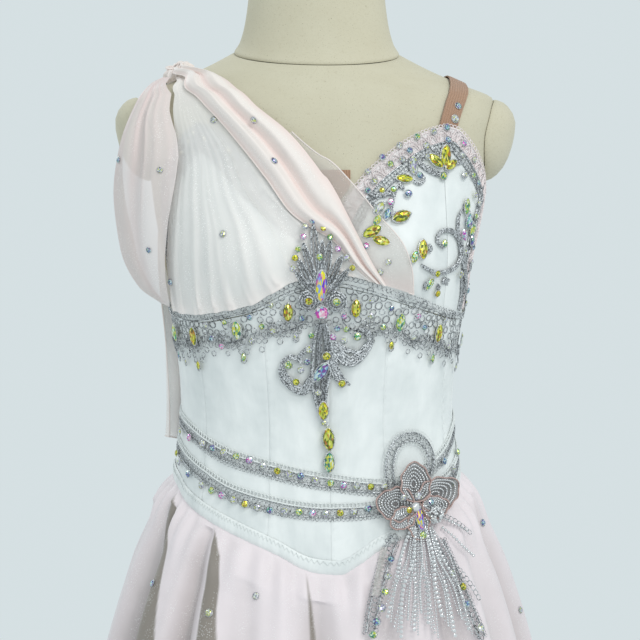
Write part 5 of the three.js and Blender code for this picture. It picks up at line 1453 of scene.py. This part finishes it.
def lace_ring(rings, dark, turn, height, draw):
    """One ring of the lace, a little out of place and out of round."""
    turn, height = turn + draw.uniform(-0.25, 0.25), height + draw.uniform(-0.5, 0.5)
    radius = draw.uniform(2.1, 2.6)
    out = way_out(turn, height)
    place = on_form(turn, height, SATIN[1] + draw.uniform(0.3, 0.6))
    axes = frames_of(out[None], np.array([[draw.uniform(-1, 1), 0, 1.0]]))
    stamp(rings if draw.random() < 0.6 else dark, RING, place, axes,
          (radius, radius * draw.uniform(0.85, 1.2), radius * 0.55))


def make_lace():
    """Lace round the underbust: a net of small rings with arches along its points."""
    for half, first, last, columns, repeat in (("front", -90, 90, 48, 6), ("back", 90.2, 269.8, 28, 4)):
        def edge_heights(turns):
            step = (turns - first) / (last - first) * columns
            point = 1 - np.abs(2 * ((step % repeat) / repeat) - 1)
            wrapped = wrap(turns)
            foot = height_on(LACE_FOOT_LINE, wrapped) - 8 * point
            return wrapped, foot, height_on(LACE_TOP_LINE, wrapped) - 1.2 * (1 - point)
        turns = np.linspace(first, last, 260)
        wrapped, foot, top = edge_heights(turns)
        height = mix(foot + 0.8, top - 0.6, np.linspace(0, 1, 9)[:, None])
        points = on_form(wrapped[None], height, NET + 0.1)
        laid_cloth(f"underbust_{half}_net", points, SILVER_NET, 0.0,
                   ("silver_lace", f"underbust_lace_{half}"))
        rings, dark = Pile(), Pile()
        for level, radius, spacing in ((0.97, 1.7, 3.7), (0.03, 1.8, 4.6)):
            path = on_form(wrapped, mix(foot, top, level), NET + 0.8)
            rings_along(rings, path, way_out(wrapped, top), radius, spacing, FINE_RING)
        path = on_form(wrapped, mix(foot, top, 0.86), NET + 0.7)
        cord(rings, path, 0.32, way_out(wrapped, top), 4)
        draw = random.Random(5 if half == "front" else 6)
        for row, height in enumerate(np.arange(958, 1028, 5.3), 1):
            turns = np.arange(first + 1 + (row % 2) * 1.6, last - 0.5, 3.4 if half == "front" else 3.5)
            wrapped, foot, top = edge_heights(turns)
            inside = (height > foot + 2.4) & (height < top - 2.6)
            for turn in wrapped[inside]:
                if draw.random() >= RINGS_LEFT_OUT:
                    lace_ring(rings, dark, turn, height, draw)
        for k in range(columns // repeat):
            centre = first + (k + 0.5) * repeat / columns * (last - first)
            a = np.linspace(-0.1, np.pi + 0.1, 22)
            turns = centre + 0.30 * repeat / columns * (last - first) * np.cos(a)
            wrapped, foot, top = edge_heights(turns)
            base = height_on(LACE_FOOT_LINE, wrapped) + 3.5
            path = on_form(wrapped, base - 9 * 0.75 * np.sin(a), NET + 1.2)
            cord(dark, path, 0.5, way_out(wrapped, base), 5)
        silver(rings, f"underbust_{half}_rings", SILVER)
        silver(dark, f"underbust_{half}_gimp", DARK_SILVER)


def make_strap():
    rows = np.array([[38.4, 1133]] + [[row["turn"], row["height"]] for row in STRAP_PATH])
    path, outs = settle(curve(on_form(rows[:, 0], rows[:, 1], 0), 2.0), ["linen_torso"], 0)
    side = unit(np.cross(outs, ahead_of(path)))
    across = np.array([-7.5, -7.1, -5, -2.5, 0, 2.5, 5, 7.1, 7.5])
    proud = np.array([1.6, 2.4, 2.6, 2.6, 2.6, 2.6, 2.6, 2.4, 1.6])
    rows = [settle(path + side * step, ["linen_torso"], rise)[0] for step, rise in zip(across, proud)]
    points = np.stack(rows, 1)
    laid_cloth("elastic_strap", points, ELASTIC, 0.0, ("nude_elastic", "shoulder_strap"))


# Ornaments, drawn over the photograph's pixels
HOOP_CORD = 0.85
TASSEL_STRANDS = 27
HANGING_POINTS = [(180, 355), (186, 360), (199, 365), (244, 357), (296, 336), (391, 345), (432, 358),
                  (455, 366), (214, 350), (228, 350), (262, 346), (280, 338), (372, 338), (408, 348),
                  (420, 352), (444, 360)]
HANGING_RINGS = [(-4.5, -10), (4.5, -10), (-8, -15), (0, -15), (8, -15), (-3, -5), (3, -5), (0, 3.5)]
LEAF_PIXELS = [((420, 158), (431, 153)), ((452, 165), (463, 163)), ((388, 219), (396, 212)),
               ((368, 203), (378, 208)), ((405, 190), (399, 181)), ((437, 152), (431, 145)),
               ((404, 222), (412, 213)), ((428.5, 243), (429, 254)), ((469.4, 262), (467, 274)),
               ((468.7, 283), (466, 295)), ((423, 290), (430, 280)), ((411, 261), (417, 253)),
               ((437, 283), (437, 292)), ((470, 212), (463, 203))]


def ribbed(pile, pixels, width, count, over, lift):
    """Flat bundle of cords side by side; its width in pixels changes along the route."""
    places, normals = drawn(pixels, over, lift)
    at = np.linspace(0, 1, len(places))
    widths = np.interp(at, np.linspace(0, 1, len(width)), width) * PIXEL_SIZE
    side = np.cross(normals, ahead_of(places))
    radius = np.maximum(widths / count * 0.72, 0.32)
    for k in range(count):
        offset = widths * ((k + 0.5) / count - 0.5)
        high = 0.35 * radius * (1 - abs((k + 0.5) / count - 0.5) * 2)
        cord(pile, places + side * offset[:, None] + normals * high[:, None], radius, normals, 5, 0.85)


def hoop(pile, pixels, width, over, lift):
    """Long narrow loop of cord round a route: up one side, round the tip and down the other."""
    places, normals = drawn(pixels, over, lift, 0.4)
    at = np.linspace(0, 1, len(places))
    half = width * PIXEL_SIZE / 2 * np.clip(np.sin(np.pi * np.clip(at * 0.86 + 0.10, 0, 1)), 0.12, 1) ** 0.5
    half = half * np.clip((1.0 - at) * 9, 0, 1) ** 0.5
    side = np.cross(normals, ahead_of(places))
    left, right = places + side * half[:, None], places - side * half[:, None]
    path = np.concatenate([left, right[::-1][1:]])
    ribs = HOOP_CORD * (1 + 0.16 * np.sin(np.arange(len(path) - 1) * 2 * math.pi / 4))
    cord(pile, path[:-1], ribs, np.concatenate([normals, normals[::-1][1:]])[:-1], 5)


def stones(name, slot, groups):
    """Cut stones of one trim: rows of pixel place, width, length, lean in degrees and kind."""
    gems, settings = Pile(), Pile()
    for over, lift, rows in groups:
        for x, y, width, length, lean, kind in rows:
            place, normal = spot(x, y, over)
            normal = unit(normal)
            way = RIGHT * math.sin(math.radians(lean)) + UP * math.cos(math.radians(lean))
            gem(gems, settings, place + normal * lift, normal, way, width, length, kind)
    made(gems.build(name + "_stones", GEM, False), slot)
    made(settings.build(name + "_settings", METAL), slot)


def rows_of(text):
    """Stones written as x y size kind where they are round, or else x y width length lean kind."""
    rows = []
    for item in text.replace("\n", "|").split("|"):
        *numbers, kind = item.split() or [None]
        if kind:
            x, y, width, length, lean = [float(v) for v in (*numbers, numbers[-1], 0)[:5]]
            rows.append((x, y, width, length, lean, kind))
    return rows


def make_ornament():
    cords, dark = Pile(), Pile()
    low, high = lifted(5.6), lifted(8.8)
    for tip, bow, width in (((313, 225), -2, 7.0), ((303, 243), -4, 6.0), ((297.5, 258), -9, 5.6),
                            ((295.5, 271), -14, 5.2), ((330.6, 241), 3, 6.4), ((342, 255), 8, 6.2),
                            ((348.5, 269), 14, 5.4), ((322, 240), 1, 6.0)):
        foot = np.array([320.5, 298])
        tip = np.array(tip)
        near, far = mix(foot, tip, 0.35) + [bow * 0.3, -2], mix(foot, tip, 0.7) + [bow * 0.25, -2.5]
        route = [foot, near, far, tip]
        hoop(cords, route, width, high, 0.4)
        ribbed(dark, route[:3] + [mix(foot, tip, 0.9)], [1.2, 1.6, 1.0], 1, high, 0.2)
    for x, y in ((308.6, 300.8), (336.5, 301.6)):
        for radius in (9.6, 6.8, 4.0):
            a = round_angles(30)
            route = np.stack([x + radius * np.cos(a), y + radius * np.sin(a)], -1)
            places, normals = spots(route, high, 0.1)
            cord(cords, places, 0.95, normals, 5, loop=True)
    ribbed(cords, [(317, 322.6), (313, 351), (313.5, 392), (322.4, 422)], [2.2, 2.6, 2.2, 1.4], 1, low, 0.5)
    ribbed(cords, [(326, 322.6), (332, 351), (326.5, 392), (323.6, 422)], [2.2, 2.6, 2.2, 1.4], 1, low, 0.5)
    ribbed(dark, [(320, 322.6), (319, 351), (318, 392), (322.8, 420)], [4, 5, 4, 1.6], 3, low, 0.1)
    ribbed(dark, [(324, 322.6), (327, 351), (323, 392), (323.2, 420)], [4, 5, 4, 1.6], 3, low, 0.1)
    ribbed(cords, [(329.4, 331), (335.5, 349), (349.8, 361.4), (364, 351), (370, 337),
                   (362, 328.8), (355, 331)],
           [4, 8, 10, 9.5, 8, 5, 3], 4, low, 0.6)
    ribbed(cords, [(315, 371.6), (302.9, 390), (290.6, 383.9), (282.4, 371.6), (285.5, 360.4), (292.6, 356.3),
                   (298.8, 361.4)], [5, 9, 9.5, 9, 7, 5, 3], 4, low, 0.6)
    ribbed(cords, [(331.4, 347), (333.5, 367.5), (339.6, 377.8), (350.8, 384.9)],
           [5, 10, 9, 1.5], 4, low, 0.7)
    ribbed(cords, [(330, 338), (338, 345), (347, 350), (358, 352)], [2, 5, 4.5, 2], 2, low, 0.9)
    ribbed(cords, [(312, 345), (304, 352), (299, 358), (303, 365)], [2, 4.5, 4, 2], 2, low, 0.8)
    silver(cords, "ornament_cords", SILVER, "centre_ornament")
    silver(dark, "ornament_gimp", DARK_SILVER)
    stones("ornament", "silver_lace", [
        (high, 1.2, rows_of("""321 285.4 8.6 23 0 flame | 321.5 312.6 10 rose | 319.3 257 5 leaf
        294.6 258 4.7 sun | 292.8 268 4.7 opal | 297.6 249.4 4.4 leaf | 303 236.8 4.4 rose
        304.8 226.6 4.4 opal | 312.8 221 4.7 sea | 323 228.5 4.4 sun | 330 237.4 4.4 leaf
        338 249 4.4 rose | 346.6 257.4 4.7 opal | 352.5 267.6 4.4 sun | 308.6 300.8 5.7 sun
        336.5 301.6 5.7 leaf""")),
        (low, 1.6, rows_of("""333 336.5 4.9 rose | 309 349 5.2 opal | 311 335 4.4 leaf
        307 361.4 4.7 sea | 300.8 369.6 4.7 opal | 296.3 381.4 5.2 sun | 326.3 355.7 6.0 sun
        318 392 4.7 opal | 337 328 4.4 sea | 346 328.8 4.4 leaf | 343.7 340 4.9 opal
        341.6 382.9 5.7 sun | 324 422.6 4.4 opal | 357 336 6.0 leaf | 288.6 364.5 6.0 leaf
        321 371.6 8 16 35 sea | 323.3 410.4 7.4 13.6 0 sun | 328.4 439 8.6 17 -4 sun
        329 462.4 7.6 15 2 leaf | 327 426 2.6 opal | 329 451 2.6 opal""")),
    ])


def make_cup_scrolls():
    upper, lower, dark = Pile(), Pile(), Pile()
    over = lifted(3.6)
    ribbed(upper, [(364, 191.8), (378.9, 195.8), (391, 191.8), (397.6, 186.4), (404, 179)],
           [2, 4, 4.5, 4, 2], 2, over, 0.6)
    ribbed(upper, [(416.4, 161), (426, 168), (439.2, 174.3), (449, 173)], [3, 5.5, 5, 2], 3, over, 0.6)
    ribbed(upper, [(413, 181), (419, 184), (424, 179), (419, 174), (412, 171), (414, 163)],
           [2, 3, 3, 3, 3, 2], 2, over, 0.6)
    ribbed(upper, [(397.6, 186.4), (393, 197), (391.6, 206.5), (392.3, 212)], [2, 3.6, 3.6, 2], 2, over, 0.6)
    ribbed(lower, [(443.2, 248), (436.5, 240), (440.5, 232), (450, 230.6), (458, 238.7),
                   (460.6, 252), (456.6, 264),
                   (447.2, 270.9), (436.5, 272.9), (425.8, 268.2), (420.4, 264.2)],
           [3, 3.6, 4, 4.4, 5, 5.4, 5, 4.4, 4, 3.4, 2], 2, over, 0.7)
    ribbed(lower, [(460.6, 252), (464, 268), (465.3, 284.3), (464.7, 297.7), (464, 308.4)],
           [4, 5, 5, 4, 2], 3, over, 0.7)
    ribbed(lower, [(460.6, 252), (457.3, 230.6), (458.6, 215.9), (465.3, 205.2)],
           [4, 4.5, 4, 2], 3, over, 0.7)
    for a, b in LEAF_PIXELS:
        a, b = np.array(a, float), np.array(b, float)
        middle = (a + b) / 2 + np.array([b[1] - a[1], a[0] - b[0]]) * 0.12
        ribbed(dark, [a, middle, b], [1, 4.4, 1], 2, over, 0.5)
    silver(upper, "cup_scroll_upper_cords", SILVER, "cup_scroll_upper")
    silver(lower, "cup_scroll_lower_cords", SILVER, "cup_scroll_lower")
    silver(dark, "cup_scroll_leaves", SILVER)
    stones("cup", "silver_lace", [
        (over, 1.4, rows_of("""372 232 8 15 60 sun | 381 241 7 13 105 sun | 377 221 5 9 30 leaf
        388 262 4.7 opal | 366 246 4.7 rose | 413 165.6 6.4 13 0 opal | 404 179 6 13 90 sun
        435 161 7.4 14 -55 sun | 444.6 155.6 8.4 16 10 sun | 450 165 6.4 12 60 sun
        442.5 176.4 5.7 leaf | 407.7 194.2 5.5 sea | 463.3 175 5.2 opal | 390.3 202.5 5.2 rose
        401 217 8.4 15 65 sun | 378.9 208.5 6 11 40 opal | 387 214.5 5 9 20 sea | 427 157 4.4 opal
        419 175.7 4.7 sea | 393 190 4.4 leaf | 465.3 206.5 6.4 12 15 leaf
        467.3 221.3 6.8 12 25 sea | 470.7 229.3 6 10.5 60 leaf | 462.7 234.7 5.6 9 -30 rose
        470 240 5.6 9 0 sea | 464 251.4 5.2 opal | 443.2 243.5 5.7 leaf | 421.8 249.4 8 14.4 0 sun
        413.7 256.8 5.6 9.5 20 leaf | 436.2 273.3 5 sun | 428.5 283.5 5.6 10 35 leaf
        436.2 293 5.2 sun | 459.3 274.2 5.5 opal | 466 290 4.7 sea | 464 303 4.7 opal""")),
        (over, 1.5, rows_of("""374 182 4.7 opal | 381.6 191 4.2 sun | 367.6 191 4.2 sea
        390 164.6 4.7 leaf | 402 160 4.7 opal | 409 151 4.4 sea | 426 146 4.7 opal | 447 140 4.7 sea
        461 155 4.4 opal | 472 175.5 4.4 leaf | 474 195 4.4 opal | 367.6 172 4.2 opal
        382 157.6 4.4 sea | 399 146 4.4 opal | 416.7 137 4.4 leaf | 433 132 4.4 opal
        446 127.7 4.7 sea | 463 143.6 4.4 rose | 473 160 4.4 opal | 476.5 183 4.2 sea
        477 203 4.2 opal | 474 216 4.2 leaf | 473 228 4.2 opal | 471.5 247 4.2 sea
        470 262 4.2 opal""")),
    ])


def make_trim_stones():
    lace, belt = lifted(5.0), lifted(4.6)
    stones("lace", "silver_lace", [
        (lace, 0.6, rows_of("""176 332 7 13.6 0 leaf | 194 336 7 14 0 sun | 237 330 7.4 14 0 leaf
        288 312 7.4 14 0 sun | 356 308 7.4 14 0 sun | 400 322 7.4 14 0 leaf | 438 333 7 14 0 sun
        460 340 5 12 0 opal | 180 355 3.4 6.4 0 sea | 186 360 3 5 0 opal | 199 365 3.6 6.4 0 sun
        244 357 3.6 6.4 0 leaf | 296 336 3.6 6.4 0 opal | 391 345 3.6 6.4 0 sun
        432 358 3.6 6.4 0 leaf | 455 366 3.4 6.2 0 opal | 212 338 4.4 sea | 222 346 4.4 rose
        252 341 4.4 opal | 262 326 4.4 leaf | 273 331 4.4 opal | 302 318 4.4 sea | 344 316 4.4 rose
        371 316 4.4 opal | 383 327 4.4 leaf | 413 337 4.4 opal | 424 327 4.4 sea | 448 346 4.4 opal
        206 325 4.2 opal | 250 317 4.2 sea | 271 305 4.2 opal | 372 300 4.2 opal | 391 308 4.2 sea
        418 316 4.2 rose | 445 320 4.2 opal | 225 322 4.2 leaf""")),
    ])
    points = Pile()
    for x, y in HANGING_POINTS:
        for away, rise in HANGING_RINGS:
            place, normal = spot(x + away, y + rise, lace)
            radius = dice.uniform(1.7, 2.2)
            stamp(points, RING, place, frames_of(unit(normal)[None], UP[None]), radius)
    silver(points, "lace_hanging_points", SILVER)
    upper = """203 443.5 | 213 448 | 224 452 | 236.5 456 | 249.6 460 | 263 465.5 | 277.4 471 | 289 474
        300.6 476 | 315.5 480 | 330.5 483 | 343.5 485 | 356.6 486 | 370.5 486.6 | 384.5 486.5
        443.7 461 | 452.5 469 | 457 452 | 190 437.5 | 181 431"""
    lower = """177.7 453 | 180 462 | 189 474 | 202 485 | 212 490.5 | 222 495 | 233.5 499.5 | 245 504
        257.5 507.5 | 270 510 | 284.5 511.5 | 299 512 | 312.5 513 | 326 513.5 | 340 513 | 354 512
        368 508.5 | 382 503 | 452 484"""
    kinds = ("opal", "sea", "opal", "leaf", "rose", "opal", "sun")
    rows = []
    for k, item in enumerate((upper + "|" + lower).replace("\n", "|").split("|")):
        x, y = map(float, item.split())
        rows.append((x, y, 5.3, 5.3, 0, kinds[k % 7]))
    stones("belt", "silver_lace", [(belt, 0.5, rows)])
    drapes = ["organza_over_cup", "organza_sash", "organza_flap", "organza_side_fall", "organza_back_fall",
              "shoulder_knot_cloth"]
    stones("drape", "blush_organza", [
        (drapes, 0.3, rows_of("""167 84 4.4 sea | 214 120 4.7 opal | 254 120 4.9 opal | 274 161 4.9 sea
        223 234 4.9 opal | 170.5 282 4.7 sea | 160 170 4.2 opal | 119 160 4.4 sea | 380 272 4.4 opal
        149 250 4.2 sea""")),
        (["organza_" + name for name, _, _ in SKIRT_PANELS], 0.3, rows_of("""153 583.5 5.2 sea
        209 613 5.2 opal | 482.5 522.7 5.2 sea | 256 596 4.7 opal | 520 610 4.7 opal""")),
        (["elastic_strap"], 0.3, rows_of("458 106 5 sea | 455 119 6.0 opal")),
    ])


def petal(rows, edge, foot, tip, width, over, lift, cup):
    """Beaded petal: nested rows of beads inside a corded edge, hollowed a little."""
    foot, tip = np.array(foot, float), np.array(tip, float)
    way = tip - foot
    side = np.array([-way[1], way[0]]) / np.linalg.norm(way)
    a = round_angles(60)
    nested = []
    for level, scale in enumerate((1.0, 0.86, 0.70, 0.54, 0.38, 0.2)):
        along = 0.56 - 0.5 * np.cos(a) * scale - 0.06 * (1 - scale)
        broad = width * 0.5 * scale * np.sin(a) * (1 + 0.22 * np.cos(a))
        ripple = 1 + (0.07 * np.sin(9 * a) if level == 0 else 0)
        pixels = foot + way * along[:, None] + side * (broad * ripple)[:, None]
        places, normals = spots(pixels, over, lift)
        places = places + normals * (cup * (scale ** 2) + 0.8 * np.sin(4 * a)[:, None] * scale ** 2)
        nested.append(places)
        if level == 0:
            cord(edge, places, 0.62, normals, 5, loop=True)
        else:
            ring = np.concatenate([places, places[:1]])
            beads_along(rows, ring, 0.86, 1.8)
    nested.append(np.repeat(nested[-1].mean(0)[None], 60, 0))
    nested = np.array(nested)[::-1] - normals.mean(0) * 0.3
    made(open_cloth(f"brooch_petal_{tip[0]:.0f}_{tip[1]:.0f}", nested, PETAL_NET, 0.0, True), "silver_lace")


def make_brooch():
    over = lifted(7.0)
    petals, edge = Pile(), Pile()
    for foot, tip, width, lift, cup in (
            ((413, 506), (377, 502), 33, 0.8, 3.2), ((414, 504), (411, 464), 28, 1.4, 3.4),
            ((416, 506), (452, 484), 33, 0.6, 3.2), ((411, 510), (391, 526), 20, 2.0, 2.4),
            ((415, 512), (417, 538), 20, 1.8, 2.4), ((418, 509), (443, 505), 22, 2.2, 2.6)):
        petal(petals, edge, foot, tip, width, over, lift, cup)
    centre, normal = spot(431, 515, over)
    draw = np.random.RandomState(3)
    ball = unit(draw.normal(size=(90, 3))) * 5.8
    ball = ball[ball @ normal > -2.0]
    beads(petals, centre + normal * 5 + ball, 1.15)
    middle, normal = spot(413, 507, over)
    beads(petals, middle + normal * 4, 4.2)
    silver(petals, "brooch_beads", BEADS, "brooch_flower")
    silver(edge, "brooch_petal_edges", ROSE_EDGE)
    place, normal = spot(414, 502, over)
    axes = frames_of(normal[None], UP[None])[0]
    a = round_angles(60)
    share = np.linspace(0.03, 1, 12)[:, None]
    reach = 24 + 4 * np.cos(6 * a + 0.6)
    local = np.stack([reach * share * np.cos(a), 0.82 * reach * share * np.sin(a),
                      1.0 + 3.4 * share ** 2 + 0 * a], -1)
    points = local @ axes.T + place
    sheet = open_cloth("brooch_mesh", points[::-1], SILVER_NET, 0.0, True)
    made(sheet, "silver_lace")


def make_braids():
    braid, white = Pile(), Pile()
    loop = [(392, 486), (389.5, 474), (390.5, 459), (396, 445), (406, 437.5), (418, 438), (427, 447),
            (431, 460), (428, 473)]
    low = lifted(5.2)
    places, normals = drawn(loop, low, 0.3)
    side = np.cross(normals, ahead_of(places))
    for offset in (-3.1, 3.1):
        cord(braid, places + side * offset, 0.7, normals, 5)
    rings_along(braid, places, normals, 1.9, 3.6)
    for offset in (-4.6, 4.6):
        rings_along(white, places + side * offset, normals, 1.4, 2.6, FINE_RING)
    silver(braid, "braid_loop_cords", SILVER, "braid_loop")
    silver(white, "braid_loop_edges", WHITE_THREAD)

    for name, route in (("left", [(395, 536), (387, 556), (380, 582), (374, 608), (370, 634)]),
                        ("right", [(440, 540), (452, 566), (463, 592), (473, 615), (482, 638)])):
        over_tail = over_skirt(2.6)
        braid = Pile()
        places, normals = drawn(route, over_tail, 0.2)
        side = np.cross(normals, ahead_of(places))
        for offset in (-3.0, 3.0):
            cord(braid, places + side * offset, 0.65, normals, 5)
        rings_along(braid, places, normals, 1.9, 3.5)
        for offset in (-4.4, 4.4):
            rings_along(braid, places + side * offset, normals, 1.2, 2.8, FINE_RING)
        silver(braid, f"braid_tail_{name}_cords", SILVER, f"braid_tail_{name}")


def make_tassel():
    strands = Pile()
    draw = random.Random(9)
    for k in range(TASSEL_STRANDS):
        share = k / (TASSEL_STRANDS - 1)
        end = (mix(384, 472, share), mix(612, 639, (k * 5 % TASSEL_STRANDS) / TASSEL_STRANDS))
        start = (mix(410, 432, share), 528)
        bend = draw.uniform(-5, 5)
        high, low = mix(start[0], end[0], 0.35) + bend, mix(start[0], end[0], 0.7) - bend * 0.4
        route = [start, (high, 556), (low, 588), end]
        places, normals = drawn(route, over_skirt(4.0 + 1.8 * (k % 3)), 0.4)
        if k % 4 == 1:
            discs, _ = even_steps(places, 3.3)
            turned = frames_of(unit(BACK + draw.uniform(-0.4, 0.4) * RIGHT)[None], UP[None])
            stamp(strands, BEAD, discs, np.repeat(turned, len(discs), 0), (1.5, 1.5, 0.3))
        else:
            beads_along(strands, places, 0.8 + 0.25 * (k % 2), 1.9 + 0.9 * (k % 3 == 0))
    for route in ([(442, 518), (452, 523), (460, 527), (467, 531.5)],
                  [(442, 528), (452, 536), (463, 547), (473, 556)]):
        places, normals = drawn(route, over_skirt(4.0), 0.8)
        beads_along(strands, places, 1.25, 2.7)
    silver(strands, "tassel_bead_strands", BEADS, "brooch_tassel")
    chain = Pile()
    places, normals = drawn([(452, 563), (462, 574), (471, 586), (478, 598)], over_skirt(4.0), 0.9)
    rings_along(chain, places, normals, 2.1, 4.0, FINE_RING)
    places, normals = drawn([(442, 516), (452, 520), (461, 526), (469, 533)], over_skirt(5.0), 1.2)
    rings_along(chain, places, normals, 1.9, 3.6, FINE_RING)
    silver(chain, "tassel_ring_chains", SILVER)
    ruffle = []
    for k, y in enumerate(np.linspace(548, 596, 60)):
        place, normal = spot(384 - (y - 548) * 0.18, y, over_skirt(3.4))
        side = np.cross(normal, UP)
        flutter = 0.9 * math.sin(k * 1.1)
        row = [place + side * w + normal * (1.2 + flutter * (1 if w < 0 else 0.3)) for w in (-3, -1, 1, 3)]
        ruffle.append(row)
    made(open_cloth("tassel_ruffle", np.array(ruffle), THIN), "silver_lace")
    stones("brooch", "silver_lace", [
        (lifted(7.0), 4.6, rows_of("""415 496 5.7 opal | 406.5 510 5 sun | 417 519 6.6 17 -8 flame
        419.6 535 5.7 leaf | 427 502 5.2 sea | 401 497 4.9 opal""")),
        (over_skirt(4.4), 1.0, rows_of("""381.5 608 5.7 opal | 376.5 622 5.7 sea | 373 635 5.5 leaf
        462 587 6.0 sun | 480 628 6.0 opal | 466 604 5.2 sea | 452 573 4.9 opal | 385 592 5.2 leaf
        388 577 5.2 opal | 391 560 4.9 sea""")),
    ])


# Floor, light and camera
def make_floor():
    angle = round_angles(96)
    rim = np.stack([FLOOR_RADIUS * np.cos(angle), FLOOR_RADIUS * np.sin(angle), 0 * angle - FLOOR_DROP], -1)
    points = np.concatenate([rim, [[0, 0, -FLOOR_DROP]]]) * MM
    mesh = bpy.data.meshes.new("pale_floor")
    mesh.from_pydata(points.tolist(), [], [(i, (i + 1) % 96, 96) for i in range(96)])
    mesh.materials.append(floor_paint())
    floor = bpy.data.objects.new("pale_floor", mesh)
    bpy.context.scene.collection.objects.link(floor)


def area_light(name, place, target, size, power, tone=(1, 1, 1)):
    lamp = bpy.data.lights.new(name, "AREA")
    lamp.shape, lamp.size, lamp.size_y = "RECTANGLE", size, size
    lamp.energy, lamp.color = power, tone
    light = bpy.data.objects.new(name, lamp)
    light.location = place
    light.rotation_euler = (Vector(target) - Vector(place)).to_track_quat("-Z", "Y").to_euler()
    bpy.context.scene.collection.objects.link(light)


def make_view():
    world = bpy.data.worlds.new("Soft_studio")
    world.use_nodes = True
    shade = next(n for n in world.node_tree.nodes if n.type == "BACKGROUND")
    shade.inputs["Color"].default_value = (0.67, 0.745, 0.765, 1)
    shade.inputs["Strength"].default_value = 1.0
    bpy.context.scene.world = world
    bpy.context.scene.view_settings.view_transform = "Standard"
    area_light("key_light", (0.8, -1.2, 2.5), (0, 0, 1.0), 0.6, 11, (1, 0.985, 0.96))
    area_light("front_light", (0.1, -2.4, 1.5), (0, 0, 1.05), 0.5, 4.5, (1, 0.99, 0.975))
    area_light("rim_light", (-1.2, 1.4, 2.0), (0, 0, 1.0), 0.8, 7)
    area_light("small_light", (0.5, -1.5, 1.6), (0, 0, 1.0), 0.1, 2.2)
    lens = bpy.data.cameras.new("camera")
    lens.lens, lens.sensor_width = VIEW["lens"], VIEW["sensor"]
    lens.clip_start = 0.05
    camera = bpy.data.objects.new("camera", lens)
    camera.location = [v * MM for v in EYE]
    aim = Vector([v * MM for v in VIEW["target"]])
    camera.rotation_euler = (aim - camera.location).to_track_quat("-Z", "Y").to_euler()
    bpy.context.scene.collection.objects.link(camera)
    bpy.context.scene.camera = camera


make_form()
make_stand()
make_panels()
make_cups()
make_knot()
make_drapes()
make_side_fall()
make_skirt()
make_cup_edges()
make_belts()
make_binding()
make_lace()
make_strap()
make_ornament()
make_cup_scrolls()
make_trim_stones()
make_brooch()
make_braids()
make_tassel()
make_floor()
make_view()
bpy.context.view_layer.update()
